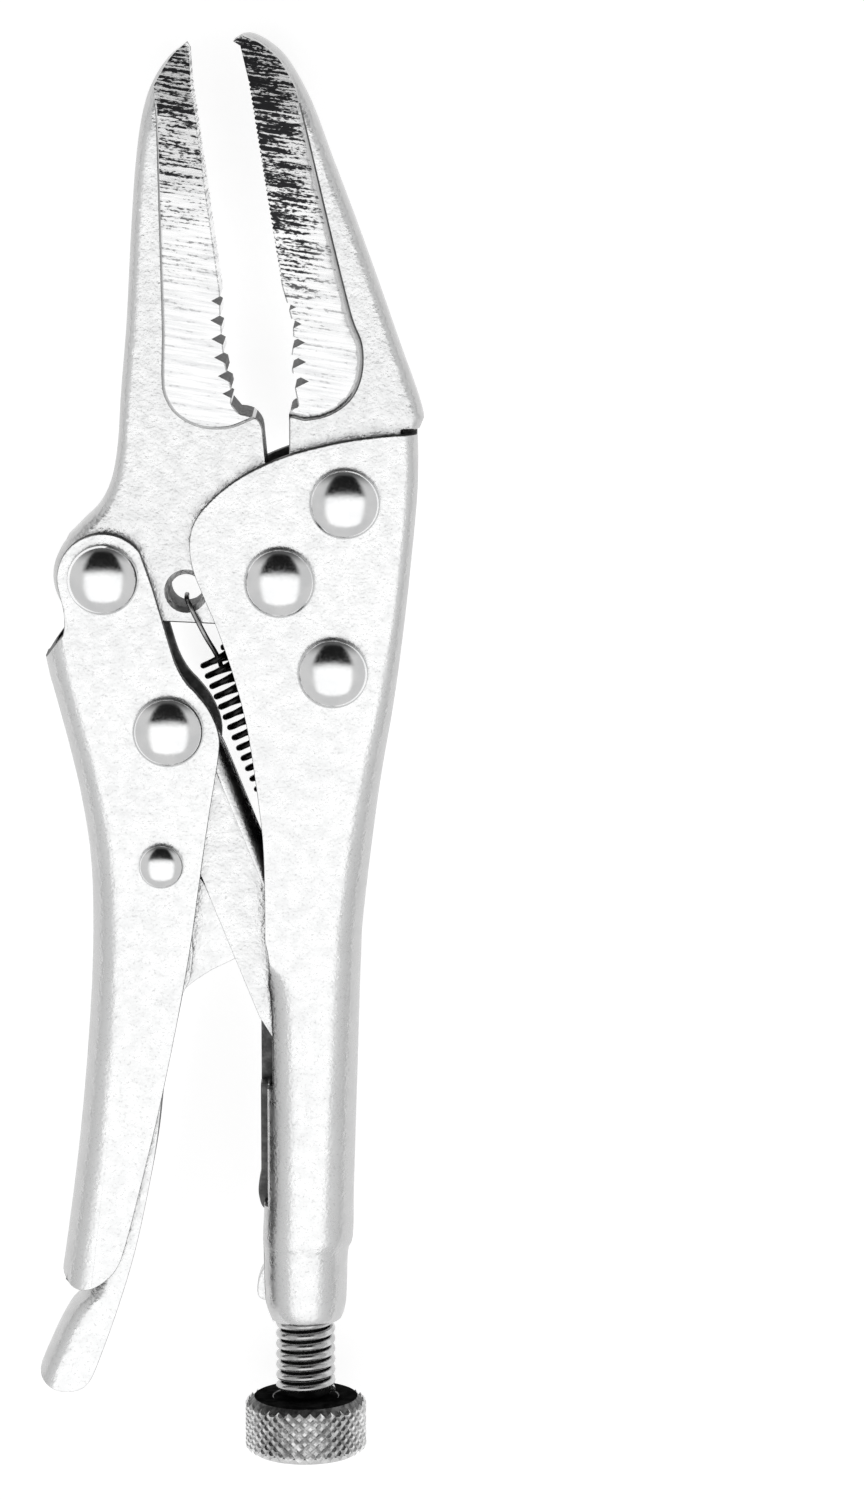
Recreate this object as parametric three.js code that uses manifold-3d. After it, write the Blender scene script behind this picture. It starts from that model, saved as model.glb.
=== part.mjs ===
// Long-nose locking pliers, 165 mm long, lying on their side.
// Millimetres. X runs from the lever handle to the frame handle, Y from the knob to the jaws,
// and Z is the thickness. Shapes are drawn with the jaw pivot at the origin, and the whole
// tool is then moved so that the origin is at the middle of the bottom of its box.

import * as THREE from 'three';
import { mergeVertices } from 'three/addons/utils/BufferGeometryUtils.js';
import Module from 'manifold-3d';

const wasm = await Module();
wasm.setup();

// Pivots and axes, in the XY plane
const jawPivot = [0, 0];
const leverPivot = [-20.1, 0.3];
const linkPivot = [-12.8, -17.2];
const releasePivot = [-13.7, -32.8];
const linkTip = [2.55, -55.5];
const upperJawRivet = [7.4, 9.0];
const lowerJawRivet = [6.0, -10.4];
const springHole = [-10.7, -1.3];
const screwX = 2.5;

// Half thicknesses, measured from the mid-plane Z = 0
const gap = 0.3; // between pieces that touch on the real tool
const frameHalf = 5.5;
const frameSheet = 1.6;
const channelHalf = frameHalf - frameSheet; // inside of both handles
const leverSheet = 1.5;
const leverHalf = channelHalf + leverSheet;
const webHalf = channelHalf - gap; // jaws where they sit between the handle sides
const padHalf = 4.8; // ground sides of the jaws
const linkHalf = 3.5;
const linkSheet = 1.3;
const releaseHalf = 3.5;
const releaseSheet = 1.2;
const noseHalf = 1.9;
const draft = 0.6; // each side of a forged jaw slopes in by this much

// Rivets
const largeShaft = 2.6;
const largeHead = 4.05;
const largeHeadHeight = 2.0;
const smallShaft = 1.4;
const smallHead = 2.55;
const smallHeadHeight = 1.3;

// Screw, knob and spring
const threadMajor = 7.0;
const threadPitch = 1.25;
const threadDepth = 0.6;
const screwShoulder = -62; // where the thread ends and the plain nose begins
const knobRadius = 7.1;
const knobTop = -97.1;
const knobBottom = -103.7;
const tubeEnd = -87.6;
const tubeStart = -59.5; // below this the frame handle is a closed tube
const springWire = 0.85;
const springRadius = 2.2;
const springTop = [-7.9, -8.2];
const springEnd = [1.2, -29.8];

const steel = (color, roughness) =>
  new THREE.MeshStandardMaterial({ color, roughness, metalness: 0.9 });
const finishes = {
  nickel: steel(0xdcdddd, 0.32),
  ground: steel(0xd2d3d3, 0.3),
  rivet: steel(0xd8d9da, 0.18),
  dark: steel(0x3a3a3a, 0.45),
  knurled: steel(0x9a9a9a, 0.4),
};

// ---------- solids ----------

function toSolid(geometry) {
  const bare = geometry.index ? geometry.toNonIndexed() : geometry.clone();
  bare.deleteAttribute('normal');
  bare.deleteAttribute('uv');
  const merged = mergeVertices(bare, 1e-4);
  return new wasm.Manifold(new wasm.Mesh({
    numProp: 3,
    vertProperties: new Float32Array(merged.attributes.position.array),
    triVerts: new Uint32Array(merged.index.array),
  }));
}

function toGeometry(solid) {
  const mesh = solid.getMesh();
  const geometry = new THREE.BufferGeometry();
  geometry.setAttribute('position', new THREE.BufferAttribute(mesh.vertProperties, 3));
  geometry.setIndex(new THREE.BufferAttribute(mesh.triVerts, 1));
  return geometry;
}

const join = (first, ...rest) => rest.reduce((solid, next) => solid.add(next), first);
const cut = (first, ...rest) => rest.reduce((solid, next) => solid.subtract(next), first);

// The points of an outline, two for each stretch of a free curve and ten for an arc,
// without any that lie closer than 0.1 mm to the one before
function outlinePoints(shape) {
  const points = shape.curves.flatMap((curve) => {
    if (curve.isLineCurve) return curve.getPoints(1);
    return curve.getPoints(curve.isSplineCurve ? 2 * (curve.points.length - 1) : 10);
  });
  const kept = points.filter((point, k) => k === 0 || point.distanceTo(points[k - 1]) > 0.1);
  if (kept[0].distanceTo(kept[kept.length - 1]) < 0.1) kept.pop();
  return kept;
}

// A flat shape made thick from z0 to z1
function plate(shape, z0, z1) {
  const geometry = new THREE.ExtrudeGeometry(new THREE.Shape(outlinePoints(shape)), {
    depth: z1 - z0, bevelEnabled: false,
  });
  return toSolid(geometry.translate(0, 0, z0));
}

// A shape that is full size at the mid-plane and smaller by slope at +half and -half
function forged(shape, half, slope) {
  const outline = outlinePoints(shape);
  if (THREE.ShapeUtils.isClockWise(outline)) outline.reverse();
  const count = outline.length;
  const inward = outline.map((point, k) => {
    const along = outline[(k + 1) % count].clone().sub(outline[(k + count - 1) % count]);
    return new THREE.Vector2(-along.y, along.x).setLength(slope).add(point);
  });
  const layers = [[inward, -half], [outline, 0], [inward, half]];
  const positions = layers.flatMap(([points, z]) => points.flatMap(({ x, y }) => [x, y, z]));
  const index = [];
  for (let k = 0; k < 2 * count; k += 1) {
    const next = (k + 1) % count ? k + 1 : k + 1 - count;
    index.push(k, next, k + count, next, next + count, k + count);
  }
  THREE.ShapeUtils.triangulateShape(outline, []).forEach(([a, b, c]) => {
    index.push(c, b, a, a + 2 * count, b + 2 * count, c + 2 * count);
  });
  const geometry = new THREE.BufferGeometry();
  geometry.setAttribute('position', new THREE.Float32BufferAttribute(positions, 3));
  geometry.setIndex(index);
  return toSolid(geometry);
}

function box(x0, x1, y0, y1, z0, z1) {
  const geometry = new THREE.BoxGeometry(x1 - x0, y1 - y0, z1 - z0);
  return toSolid(geometry.translate((x0 + x1) / 2, (y0 + y1) / 2, (z0 + z1) / 2));
}

// A round bar along Z through a point
function barAlongZ([x, y], radius, half, sides = 16) {
  const geometry = new THREE.CylinderGeometry(radius, radius, 2 * half, sides);
  return toSolid(geometry.rotateX(Math.PI / 2).translate(x, y, 0));
}

// A profile of [radius, y] points turned about the screw axis
function turnedOnScrewAxis(profile, sides = 32) {
  const points = profile.map(([radius, y]) => new THREE.Vector2(radius, y));
  return toSolid(new THREE.LatheGeometry(points, sides).translate(screwX, 0, 0));
}

// One ring of a loft: a rectangle in XZ with its left and right corners rounded
function roundedRing({ y, left, right, half, leftRound, rightRound }, steps = 4) {
  const ring = [];
  const corner = (x, z, radius, start) => {
    for (let step = 0; step <= steps; step += 1) {
      const angle = start + (Math.PI / 2) * (step / steps);
      ring.push([x + radius * Math.cos(angle), y, z + radius * Math.sin(angle)]);
    }
  };
  corner(right - rightRound, half - rightRound, rightRound, 0);
  corner(left + leftRound, half - leftRound, leftRound, Math.PI / 2);
  corner(left + leftRound, leftRound - half, leftRound, Math.PI);
  corner(right - rightRound, rightRound - half, rightRound, 1.5 * Math.PI);
  return ring;
}

// Rings from the highest y to the lowest, joined by a skin and closed at both ends
function loft(sections) {
  const rings = sections.map((section) => roundedRing(section));
  const count = rings[0].length;
  const positions = rings.flat(2);
  const index = [];
  for (let row = 0; row < rings.length - 1; row += 1) {
    for (let k = 0; k < count; k += 1) {
      const a = row * count + k;
      const b = row * count + ((k + 1) % count);
      index.push(a, b, a + count, b, b + count, a + count);
    }
  }
  const last = (rings.length - 1) * count;
  for (let k = 1; k < count - 1; k += 1) {
    index.push(0, k + 1, k, last, last + k, last + k + 1);
  }
  const geometry = new THREE.BufferGeometry();
  geometry.setAttribute('position', new THREE.Float32BufferAttribute(positions, 3));
  geometry.setIndex(index);
  return toSolid(geometry);
}

const curveThrough = (shape, points) =>
  shape.splineThru(points.map(([x, y]) => new THREE.Vector2(x, y)));

function polyline(points) {
  const shape = new THREE.Shape();
  shape.moveTo(...points[0]);
  points.slice(1).forEach((point) => shape.lineTo(...point));
  return shape;
}

// ---------- frame handle ----------

// The back edge of the channel bends in to become a tube of the screw's size
const frameSections = [
  { y: 19.0, left: -16, right: 15.6, half: 5.5, leftRound: 0.5, rightRound: 1.8 },
  { y: 11.0, left: -16, right: 15.7, half: 5.5, leftRound: 0.5, rightRound: 1.8 },
  { y: 1.8, left: -16, right: 14.9, half: 5.5, leftRound: 0.5, rightRound: 1.8 },
  { y: -6.3, left: -14, right: 14.0, half: 5.5, leftRound: 0.5, rightRound: 2.0 },
  { y: -14.4, left: -12, right: 12.9, half: 5.5, leftRound: 0.5, rightRound: 2.4 },
  { y: -22.6, left: -10, right: 11.5, half: 5.5, leftRound: 0.5, rightRound: 3.0 },
  { y: -31.4, left: -8, right: 10.3, half: 5.5, leftRound: 0.5, rightRound: 3.5 },
  { y: -40.2, left: -6, right: 9.3, half: 5.5, leftRound: 1.0, rightRound: 3.7 },
  { y: -46.5, left: -3.0, right: 9.0, half: 5.5, leftRound: 3.7, rightRound: 3.8 },
  { y: tubeStart, left: -2.2, right: 8.6, half: 5.4, leftRound: 4.4, rightRound: 4.2 },
  { y: -72.0, left: -2.2, right: 8.2, half: 5.4, leftRound: 4.6, rightRound: 4.4 },
  { y: -77.5, left: -2.5, right: 8.1, half: 5.3, leftRound: 4.6, rightRound: 4.4 },
  { y: -79.5, left: -2.4, right: 7.5, half: 5.0, leftRound: 4.6, rightRound: 4.4 },
  { y: -85.0, left: -2.3, right: 7.3, half: 4.9, leftRound: 4.6, rightRound: 4.6 },
  { y: tubeEnd, left: -1.7, right: 6.8, half: 4.5, leftRound: 4.2, rightRound: 4.2 },
];

function frameOutline() {
  const shape = new THREE.Shape();
  shape.moveTo(18, 16.8);
  shape.lineTo(13.0, 16.7);
  curveThrough(shape, [[8.6, 16.2], [4.6, 15.4], [0.1, 14.1], [-4.4, 11.9], [-7.6, 9.4],
    [-9.6, 6.9], [-10.2, 4.4], [-9.9, 1.6], [-8.8, -1.4]]);
  curveThrough(shape, [[-7.1, -5.5], [-5.3, -10.9], [-3.9, -16.4], [-2.9, -22.8],
    [-2.1, -29.8], [-1.9, -36.0], [-1.9, -41.8]]);
  shape.quadraticCurveTo(-1.1, -44.0, -1.8, -47.5);
  shape.lineTo(-1.8, tubeStart);
  shape.lineTo(-5, tubeStart);
  shape.lineTo(-5, tubeEnd - 5);
  shape.lineTo(18, tubeEnd - 5);
  return shape;
}

function frameHandle() {
  const skin = loft(frameSections);
  const channel = frameSections.filter(({ y }) => y >= tubeStart).map((section) => ({
    ...section,
    left: -25,
    leftRound: 0.4,
    right: section.right - frameSheet,
    rightRound: Math.max(section.rightRound - frameSheet, 0.4),
    half: channelHalf,
  }));
  channel[0].y += 5;
  const boreRadius = threadMajor / 2 + gap + 0.05;
  const bore = turnedOnScrewAxis([[0, tubeEnd - 3], [boreRadius, tubeEnd - 3],
    [boreRadius, tubeStart + 1], [0, tubeStart + 1]]);
  const seam = box(-6, screwX, tubeEnd - 3, tubeStart + 1, 0.6, 1.5);
  const holes = [upperJawRivet, lowerJawRivet, jawPivot]
    .map((centre) => barAlongZ(centre, largeShaft + gap, frameHalf + 2));
  const body = cut(skin.intersect(plate(frameOutline(), -10, 10)),
    loft(channel), bore, seam, ...holes);
  return join(body, springTab());
}

// A tab bent in from the back of the channel, with a waist for the spring's eye
function springTab() {
  const back = 10.3;
  const tab = box(1.2, back - 0.6, -34.2, -32.6, -2.2, 2.2);
  const head = box(0.4, 1.2, -34.2, -32.6, -3.0, 3.0);
  return join(tab, head);
}

// ---------- jaws ----------

// Three-sided notches cut across a gripping face, one for each gullet [x, y, width, reach]
function notch([x, y, width, reach], side) {
  const shape = polyline([[x, y], [x - side * reach, y + width / 2],
    [x - side * reach, y - width / 2]]);
  return plate(side > 0 ? shape : polyline([[x, y], [x - side * reach, y - width / 2],
    [x - side * reach, y + width / 2]]), -9, 9);
}

// A slab whose thickness falls towards the jaw tips
function noseTaper() {
  const side = polyline([[-30, -6], [30, -padHalf - 0.01], [44, -4.6], [53, -4.0], [63, -3.0],
    [63, 3.0], [53, 4.0], [44, 4.6], [30, padHalf + 0.01], [-30, 6]]);
  const geometry = new THREE.ExtrudeGeometry(side, { depth: 80, bevelEnabled: false });
  geometry.rotateY(Math.PI / 2).rotateX(Math.PI / 2).translate(-40, 0, 0);
  return toSolid(geometry);
}

function jaw(outline, pad, eyes) {
  const blank = join(forged(outline, webHalf, draft), plate(pad, -padHalf, padHalf));
  return cut(blank.intersect(noseTaper()), ...eyes);
}

const movingGullets = [
  [-7.6, 31.9, 1.7, 1.6], [-7.7, 29.7, 1.8, 1.7], [-7.6, 27.6, 1.9, 1.8],
  [-7.3, 25.5, 2.0, 1.9], [-6.9, 23.4, 2.0, 1.9], [-6.4, 21.4, 1.8, 1.8],
];

const fixedGullets = [
  [2.0, 31.2, 1.5, 1.6], [2.6, 29.3, 1.8, 1.7], [3.0, 27.2, 1.9, 1.9],
  [3.1, 25.0, 2.0, 2.0], [3.4, 22.8, 2.0, 2.0],
];

function movingJaw() {
  const shape = new THREE.Shape();
  shape.moveTo(-10.4, 60.6);
  curveThrough(shape, [[-12.4, 59.0], [-14.2, 56.2], [-15.3, 52.8], [-16.1, 47.4],
    [-16.7, 39.5], [-17.3, 29.3], [-18.0, 21.3], [-18.4, 15.6], [-19.1, 11.6], [-20.5, 8.5],
    [-22.4, 6.5], [-24.3, 4.6]]);
  shape.absarc(...leverPivot, 5.8, 0.76 * Math.PI, 1.5 * Math.PI, false);
  shape.lineTo(-13.6, -4.8);
  shape.lineTo(-5.0, -5.2);
  shape.absarc(...jawPivot, 5.4, 1.45 * Math.PI, 2.4 * Math.PI, false);
  shape.lineTo(-1.4, 12.0);
  shape.lineTo(-1.9, 17.2);
  shape.quadraticCurveTo(-2.2, 19.0, -4.5, 19.1);
  shape.lineTo(-5.4, 20.2);
  curveThrough(shape, [[-5.4, 22.0], [-6.1, 25.2], [-6.5, 29.7], [-6.6, 33.0]]);
  shape.lineTo(-9.8, 56.6);
  shape.lineTo(-10.0, 60.0);
  const pad = new THREE.Shape();
  pad.moveTo(-10.4, 60.4);
  curveThrough(pad, [[-12.3, 58.9], [-14.0, 56.0]]);
  pad.lineTo(-13.7, 52.0);
  pad.lineTo(-13.2, 28.0);
  pad.lineTo(-13.3, 22.9);
  curveThrough(pad, [[-12.9, 20.7], [-11.5, 18.7], [-8.9, 17.4], [-5.8, 17.3], [-3.3, 18.2]]);
  pad.lineTo(-4.6, 19.1);
  pad.lineTo(-5.4, 20.2);
  curveThrough(pad, [[-5.4, 22.0], [-6.1, 25.2], [-6.5, 29.7], [-6.6, 33.0]]);
  pad.lineTo(-9.8, 56.6);
  pad.lineTo(-10.0, 60.0);
  return jaw(shape, pad, [
    barAlongZ(jawPivot, largeShaft + gap, 9),
    barAlongZ(leverPivot, largeShaft + gap, 9),
    barAlongZ(springHole, 1.9, 9, 20),
    ...movingGullets.map((gullet) => notch(gullet, -1)),
  ]);
}

function fixedJaw() {
  const shape = new THREE.Shape();
  shape.moveTo(-5.0, 60.9);
  curveThrough(shape, [[-3.5, 61.7], [-1.6, 61.1], [0.7, 59.2], [2.6, 56.2], [4.1, 53.0],
    [6.0, 47.8]]);
  curveThrough(shape, [[8.6, 40.9], [11.3, 33.4], [13.8, 26.2], [15.6, 21.2], [16.4, 18.4]]);
  shape.lineTo(15.9, 17.2);
  shape.lineTo(13.7, 17.1);
  shape.lineTo(13.7, 9);
  shape.lineTo(13.0, 1.8);
  shape.lineTo(11.9, -6.3);
  shape.lineTo(10.6, -14.4);
  shape.quadraticCurveTo(10.0, -16.6, 7.5, -16.6);
  shape.lineTo(4.4, -16.4);
  shape.quadraticCurveTo(1.6, -16.0, 1.6, -12.5);
  shape.lineTo(2.0, -5.9);
  shape.absarc(...jawPivot, 6.2, -0.4 * Math.PI, 0.36 * Math.PI, false);
  shape.lineTo(1.7, 8.5);
  shape.lineTo(1.1, 11.0);
  shape.lineTo(1.1, 18.9);
  shape.quadraticCurveTo(1.2, 19.8, 2.2, 20.0);
  curveThrough(shape, [[1.7, 22.6], [1.4, 25.2], [1.6, 27.2], [1.5, 29.5], [0.4, 33.5]]);
  shape.lineTo(-3.3, 56.6);
  shape.lineTo(-4.2, 60.4);
  const pad = new THREE.Shape();
  pad.moveTo(-4.3, 60.7);
  curveThrough(pad, [[-3.4, 61.4], [-1.6, 60.9], [0.5, 59.0], [2.2, 55.8]]);
  pad.lineTo(3.5, 50.0);
  pad.lineTo(6.1, 38.8);
  pad.lineTo(8.2, 30.3);
  curveThrough(pad, [[9.4, 27.0], [9.5, 24.0], [8.8, 21.6], [7.5, 19.9], [5.5, 18.7],
    [3.2, 18.2], [1.3, 18.6]]);
  pad.quadraticCurveTo(1.2, 19.8, 2.2, 20.0);
  curveThrough(pad, [[1.7, 22.6], [1.4, 25.2], [1.6, 27.2], [1.5, 29.5], [0.4, 33.5]]);
  pad.lineTo(-3.3, 56.6);
  return jaw(shape, pad, [
    barAlongZ(upperJawRivet, largeShaft + gap, 9),
    barAlongZ(lowerJawRivet, largeShaft + gap, 9),
    ...fixedGullets.map((gullet) => notch(gullet, 1)),
  ]);
}

// ---------- lever handle ----------

const leverSections = [
  { y: 9, left: -30, right: 8, half: leverHalf, leftRound: 3.2, rightRound: 0.4 },
  { y: -8.7, left: -26.9, right: 8, half: leverHalf, leftRound: 3.2, rightRound: 0.4 },
  { y: -13.3, left: -25.8, right: 8, half: leverHalf, leftRound: 3.2, rightRound: 0.4 },
  { y: -19.1, left: -24.3, right: 8, half: leverHalf, leftRound: 3.2, rightRound: 0.4 },
  { y: -25.5, left: -22.9, right: 8, half: leverHalf, leftRound: 3.2, rightRound: 0.4 },
  { y: -33.0, left: -21.9, right: 8, half: leverHalf, leftRound: 3.4, rightRound: 0.4 },
  { y: -42.6, left: -21.8, right: 8, half: leverHalf, leftRound: 3.6, rightRound: 0.4 },
  { y: -53.2, left: -22.4, right: 8, half: leverHalf, leftRound: 3.7, rightRound: 0.4 },
  { y: -64.0, left: -23.4, right: 8, half: leverHalf, leftRound: 3.7, rightRound: 0.4 },
  { y: -72.9, left: -24.5, right: 8, half: leverHalf, leftRound: 3.7, rightRound: 0.4 },
  { y: -84.0, left: -26.1, right: 8, half: leverHalf, leftRound: 3.7, rightRound: 0.4 },
];

function leverOutline() {
  const shape = new THREE.Shape();
  shape.moveTo(-32, -8.9);
  shape.lineTo(-26.7, -8.9);
  shape.quadraticCurveTo(-25.6, -7.2, -24.7, -6.2);
  shape.quadraticCurveTo(-24.2, -4.4, -24.9, -2.0);
  shape.absarc(...leverPivot, 5.2, 1.08 * Math.PI, 0.2 * Math.PI, true);
  shape.lineTo(-14.5, -0.7);
  shape.lineTo(-12.4, -8.0);
  shape.quadraticCurveTo(-11.6, -11.0, -9.8, -12.6);
  curveThrough(shape, [[-8.2, -14.7], [-7.1, -17.4], [-7.1, -20.2]]);
  curveThrough(shape, [[-8.2, -27.0], [-9.1, -33.0], [-10.3, -41.5], [-11.9, -50.6],
    [-14.1, -61.2], [-16.1, -69.5], [-18.0, -76.9]]);
  curveThrough(shape, [[-19.1, -80.1], [-20.6, -81.9], [-22.4, -82.8], [-24.0, -83.0],
    [-25.2, -82.0]]);
  shape.lineTo(-32, -81.6);
  return shape;
}

function leverHandle() {
  const channel = leverSections.map((section) => ({
    ...section,
    right: 12,
    left: section.left + leverSheet,
    leftRound: section.leftRound - leverSheet,
    half: channelHalf,
  }));
  channel[0].y += 5;
  channel[channel.length - 1].y -= 5;
  const holes = [[leverPivot, largeShaft], [linkPivot, largeShaft], [releasePivot, smallShaft]]
    .map(([centre, radius]) => barAlongZ(centre, radius + gap, 9));
  return cut(loft(leverSections).intersect(plate(leverOutline(), -10, 10)),
    loft(channel), ...holes);
}

// ---------- toggle link ----------

// The link is drawn along +X from its pivot, with its folded back on the +Y side, then turned
function toggleLink() {
  const length = Math.hypot(linkTip[0] - linkPivot[0], linkTip[1] - linkPivot[1]);
  const angle = Math.atan2(linkTip[1] - linkPivot[1], linkTip[0] - linkPivot[0]);
  const front = -3.2;
  const back = 4.9;
  const eye = 3.9;
  const tipRadius = 2.6;
  const shape = new THREE.Shape();
  shape.moveTo(0, -eye);
  shape.quadraticCurveTo(3, -eye, 6, front);
  shape.lineTo(length - 6, front);
  shape.lineTo(length - tipRadius, -tipRadius);
  shape.absarc(length - tipRadius, 0, tipRadius, -Math.PI / 2, Math.PI / 2, false);
  shape.lineTo(length - 9, back - 0.6);
  shape.lineTo(length - 12, back);
  shape.lineTo(6, back);
  shape.quadraticCurveTo(3, back, 0, eye);
  shape.absarc(0, 0, eye, Math.PI / 2, 1.5 * Math.PI, false);
  const inside = polyline([[-6, -9], [length - 9.5, -9], [length - 9.5, back - linkSheet],
    [6, back - linkSheet], [-6, 3.2 - linkSheet]]);
  const solid = cut(plate(shape, -linkHalf, linkHalf),
    plate(inside, linkSheet - linkHalf, linkHalf - linkSheet));
  const geometry = toGeometry(solid);
  geometry.rotateZ(angle).translate(...linkPivot, 0);
  return cut(toSolid(geometry), barAlongZ(linkPivot, largeShaft + gap, 9));
}

// ---------- release lever ----------

function releaseLever() {
  const cheeks = new THREE.Shape();
  cheeks.moveTo(-10.9, -34.2);
  cheeks.absarc(...releasePivot, 3.0, -0.15 * Math.PI, 0.95 * Math.PI, false);
  curveThrough(cheeks, [[-17.6, -38], [-18.5, -44], [-19.2, -53.2], [-20.1, -64], [-21.1, -72.9],
    [-22.3, -81.4], [-22.8, -83.4]]);
  curveThrough(cheeks, [[-24.4, -84.6], [-26.0, -87.6], [-27.3, -90.4], [-28.4, -93.0]]);
  curveThrough(cheeks, [[-28.1, -94.5], [-26.4, -95.6], [-24.2, -95.6], [-22.6, -94.4]]);
  curveThrough(cheeks, [[-21.0, -90.6], [-19.1, -85.2], [-17.3, -79.2], [-15.8, -72.6],
    [-14.5, -65.4], [-13.6, -57.0], [-12.6, -50.5]]);
  cheeks.lineTo(-10.6, -46.6);
  cheeks.lineTo(-10.2, -43.5);
  const inside = new THREE.Shape();
  inside.moveTo(-5, -37.0);
  inside.lineTo(-5, -89);
  inside.lineTo(-24.6, -89);
  curveThrough(inside, [[-21.4, -80.5], [-20.0, -72.9], [-18.9, -64], [-18.0, -53.2],
    [-17.3, -44]]);
  inside.lineTo(-16.0, -37.0);
  const nose = polyline([[-13, -36.0], [-10.4, -33.4], [-6.6, -39.0], [-4.4, -41.4], [-4.2, -43.0],
    [-5.4, -44.4], [-8.1, -45.7], [-10.1, -47.0], [-12.0, -48.6], [-19.2, -50.0], [-18.4, -40]]);
  const inner = releaseHalf - releaseSheet;
  const channel = cut(plate(cheeks, -releaseHalf, releaseHalf), plate(inside, -inner, inner));
  const blade = join(plate(nose, -noseHalf, noseHalf), barAlongZ(releasePivot, 3.0, inner + 0.2));
  return cut(join(channel, blade), barAlongZ(releasePivot, smallShaft + gap, 9));
}

// ---------- rivets, screw, knob, spring ----------

// A shank through both sides, with a domed head standing on each outer face
function rivet([x, y], shaft, head, height, face) {
  const under = face + gap;
  const dome = [0, 0.35, 0.7].map((t) => {
    const angle = (t * Math.PI) / 2;
    return new THREE.Vector2(head * Math.cos(angle), under + 0.35 + (height - 0.35) * Math.sin(angle));
  });
  const half = [new THREE.Vector2(shaft, 0), new THREE.Vector2(shaft, under),
    new THREE.Vector2(head, under), ...dome, new THREE.Vector2(0, under + height)];
  const mirrored = half.slice(1).reverse().map((point) => new THREE.Vector2(point.x, -point.y));
  const geometry = new THREE.LatheGeometry([...mirrored, ...half], 16);
  return toSolid(geometry.rotateX(Math.PI / 2).translate(x, y, 0));
}

const largeRivet = (centre, face) => rivet(centre, largeShaft, largeHead, largeHeadHeight, face);

function adjustingScrew() {
  const major = threadMajor / 2;
  const firstCrest = tubeEnd + 1;
  const profile = [[0, knobTop + gap], [major - threadDepth, knobTop + gap]];
  for (let y = knobTop + gap + threadPitch / 2; y < firstCrest; y += threadPitch) {
    profile.push([major, y], [major - threadDepth, y + threadPitch / 2]);
  }
  profile.push([major, firstCrest + threadPitch], [major, screwShoulder - 1],
    [major - 0.8, screwShoulder], [0, screwShoulder]);
  return turnedOnScrewAxis(profile, 16);
}

function screwNose() {
  const noseFoot = screwShoulder + gap;
  const top = linkTip[1] - 1.1;
  return turnedOnScrewAxis([[0, noseFoot], [2.6, noseFoot], [2.6, top - 1.2], [1.6, top - 0.2],
    [0, top]], 16);
}

function knurledKnob() {
  const chamfer = 0.7;
  return turnedOnScrewAxis([[0, knobBottom], [knobRadius - chamfer, knobBottom],
    [knobRadius, knobBottom + chamfer], [knobRadius, knobTop - chamfer],
    [knobRadius - chamfer, knobTop], [0, knobTop]], 24);
}

// The coil's outer shape, with the wire that runs from it to the hole in the moving jaw
function tensionSpring() {
  const top = new THREE.Vector3(...springTop, 0);
  const end = new THREE.Vector3(...springEnd, 0);
  const coil = new THREE.CylinderGeometry(springRadius, springRadius, top.distanceTo(end), 12);
  coil.rotateZ(Math.atan2(end.y - top.y, end.x - top.x) + Math.PI / 2);
  coil.translate(...top.clone().add(end).multiplyScalar(0.5).toArray());
  const above = webHalf + gap + springWire / 2;
  const wire = (points) => {
    const path = new THREE.CatmullRomCurve3(points.map((point) => new THREE.Vector3(...point)));
    const section = new THREE.Shape().absarc(0, 0, springWire / 2, 0, 2 * Math.PI);
    return toSolid(new THREE.ExtrudeGeometry(section, {
      steps: 10, extrudePath: path, curveSegments: 3,
    }));
  };
  const hook = wire([[-7.4, -9.2, 0.6], [-7.9, -7.2, 2.6], [-8.6, -5.4, above],
    [-9.8, -3.0, above], [-10.5, -1.9, above - 0.2], [-10.9, -1.2, 2.6], [-10.9, -1.1, 1.6]]);
  const eye = wire([[1.0, -29.2, 0.6], [1.7, -30.9, 1.8], [2.5, -32.0, 2.9], [2.8, -33.4, 3.0],
    [2.8, -34.9, 2.6], [2.8, -35.4, 1.2]]);
  return join(toSolid(coil), hook, eye);
}

// ---------- assembly ----------

const pieces = [
  ['frame_handle', frameHandle, finishes.nickel],
  ['fixed_jaw', fixedJaw, finishes.ground],
  ['moving_jaw', movingJaw, finishes.ground],
  ['lever_handle', leverHandle, finishes.nickel],
  ['toggle_link', toggleLink, finishes.nickel],
  ['release_lever', releaseLever, finishes.nickel],
  ['tension_spring', tensionSpring, finishes.dark],
  ['upper_jaw_rivet', () => largeRivet(upperJawRivet, frameHalf), finishes.rivet],
  ['lower_jaw_rivet', () => largeRivet(lowerJawRivet, frameHalf), finishes.rivet],
  ['jaw_pivot_rivet', () => largeRivet(jawPivot, frameHalf), finishes.rivet],
  ['lever_pivot_rivet', () => largeRivet(leverPivot, leverHalf), finishes.rivet],
  ['link_pivot_rivet', () => largeRivet(linkPivot, leverHalf), finishes.rivet],
  ['release_pivot_rivet',
    () => rivet(releasePivot, smallShaft, smallHead, smallHeadHeight, leverHalf), finishes.rivet],
  ['adjusting_screw', adjustingScrew, finishes.dark],
  ['screw_nose', screwNose, finishes.dark],
  ['knurled_knob', knurledKnob, finishes.knurled],
];

const tool = new THREE.Group();
pieces.forEach(([name, make, material]) => {
  const mesh = new THREE.Mesh(toGeometry(make()), material);
  mesh.name = name;
  tool.add(mesh);
});

const bounds = new THREE.Box3().setFromObject(tool);
const centre = bounds.getCenter(new THREE.Vector3());
tool.position.set(-centre.x, -centre.y, -bounds.min.z);

const pliers = new THREE.Group();
pliers.add(tool);

export default pliers;
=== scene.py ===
import math

import bmesh
import bpy
import numpy as np
from mathutils import Matrix, Vector
from mathutils.bvhtree import BVHTree
from mathutils.geometry import delaunay_2d_cdt


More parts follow.
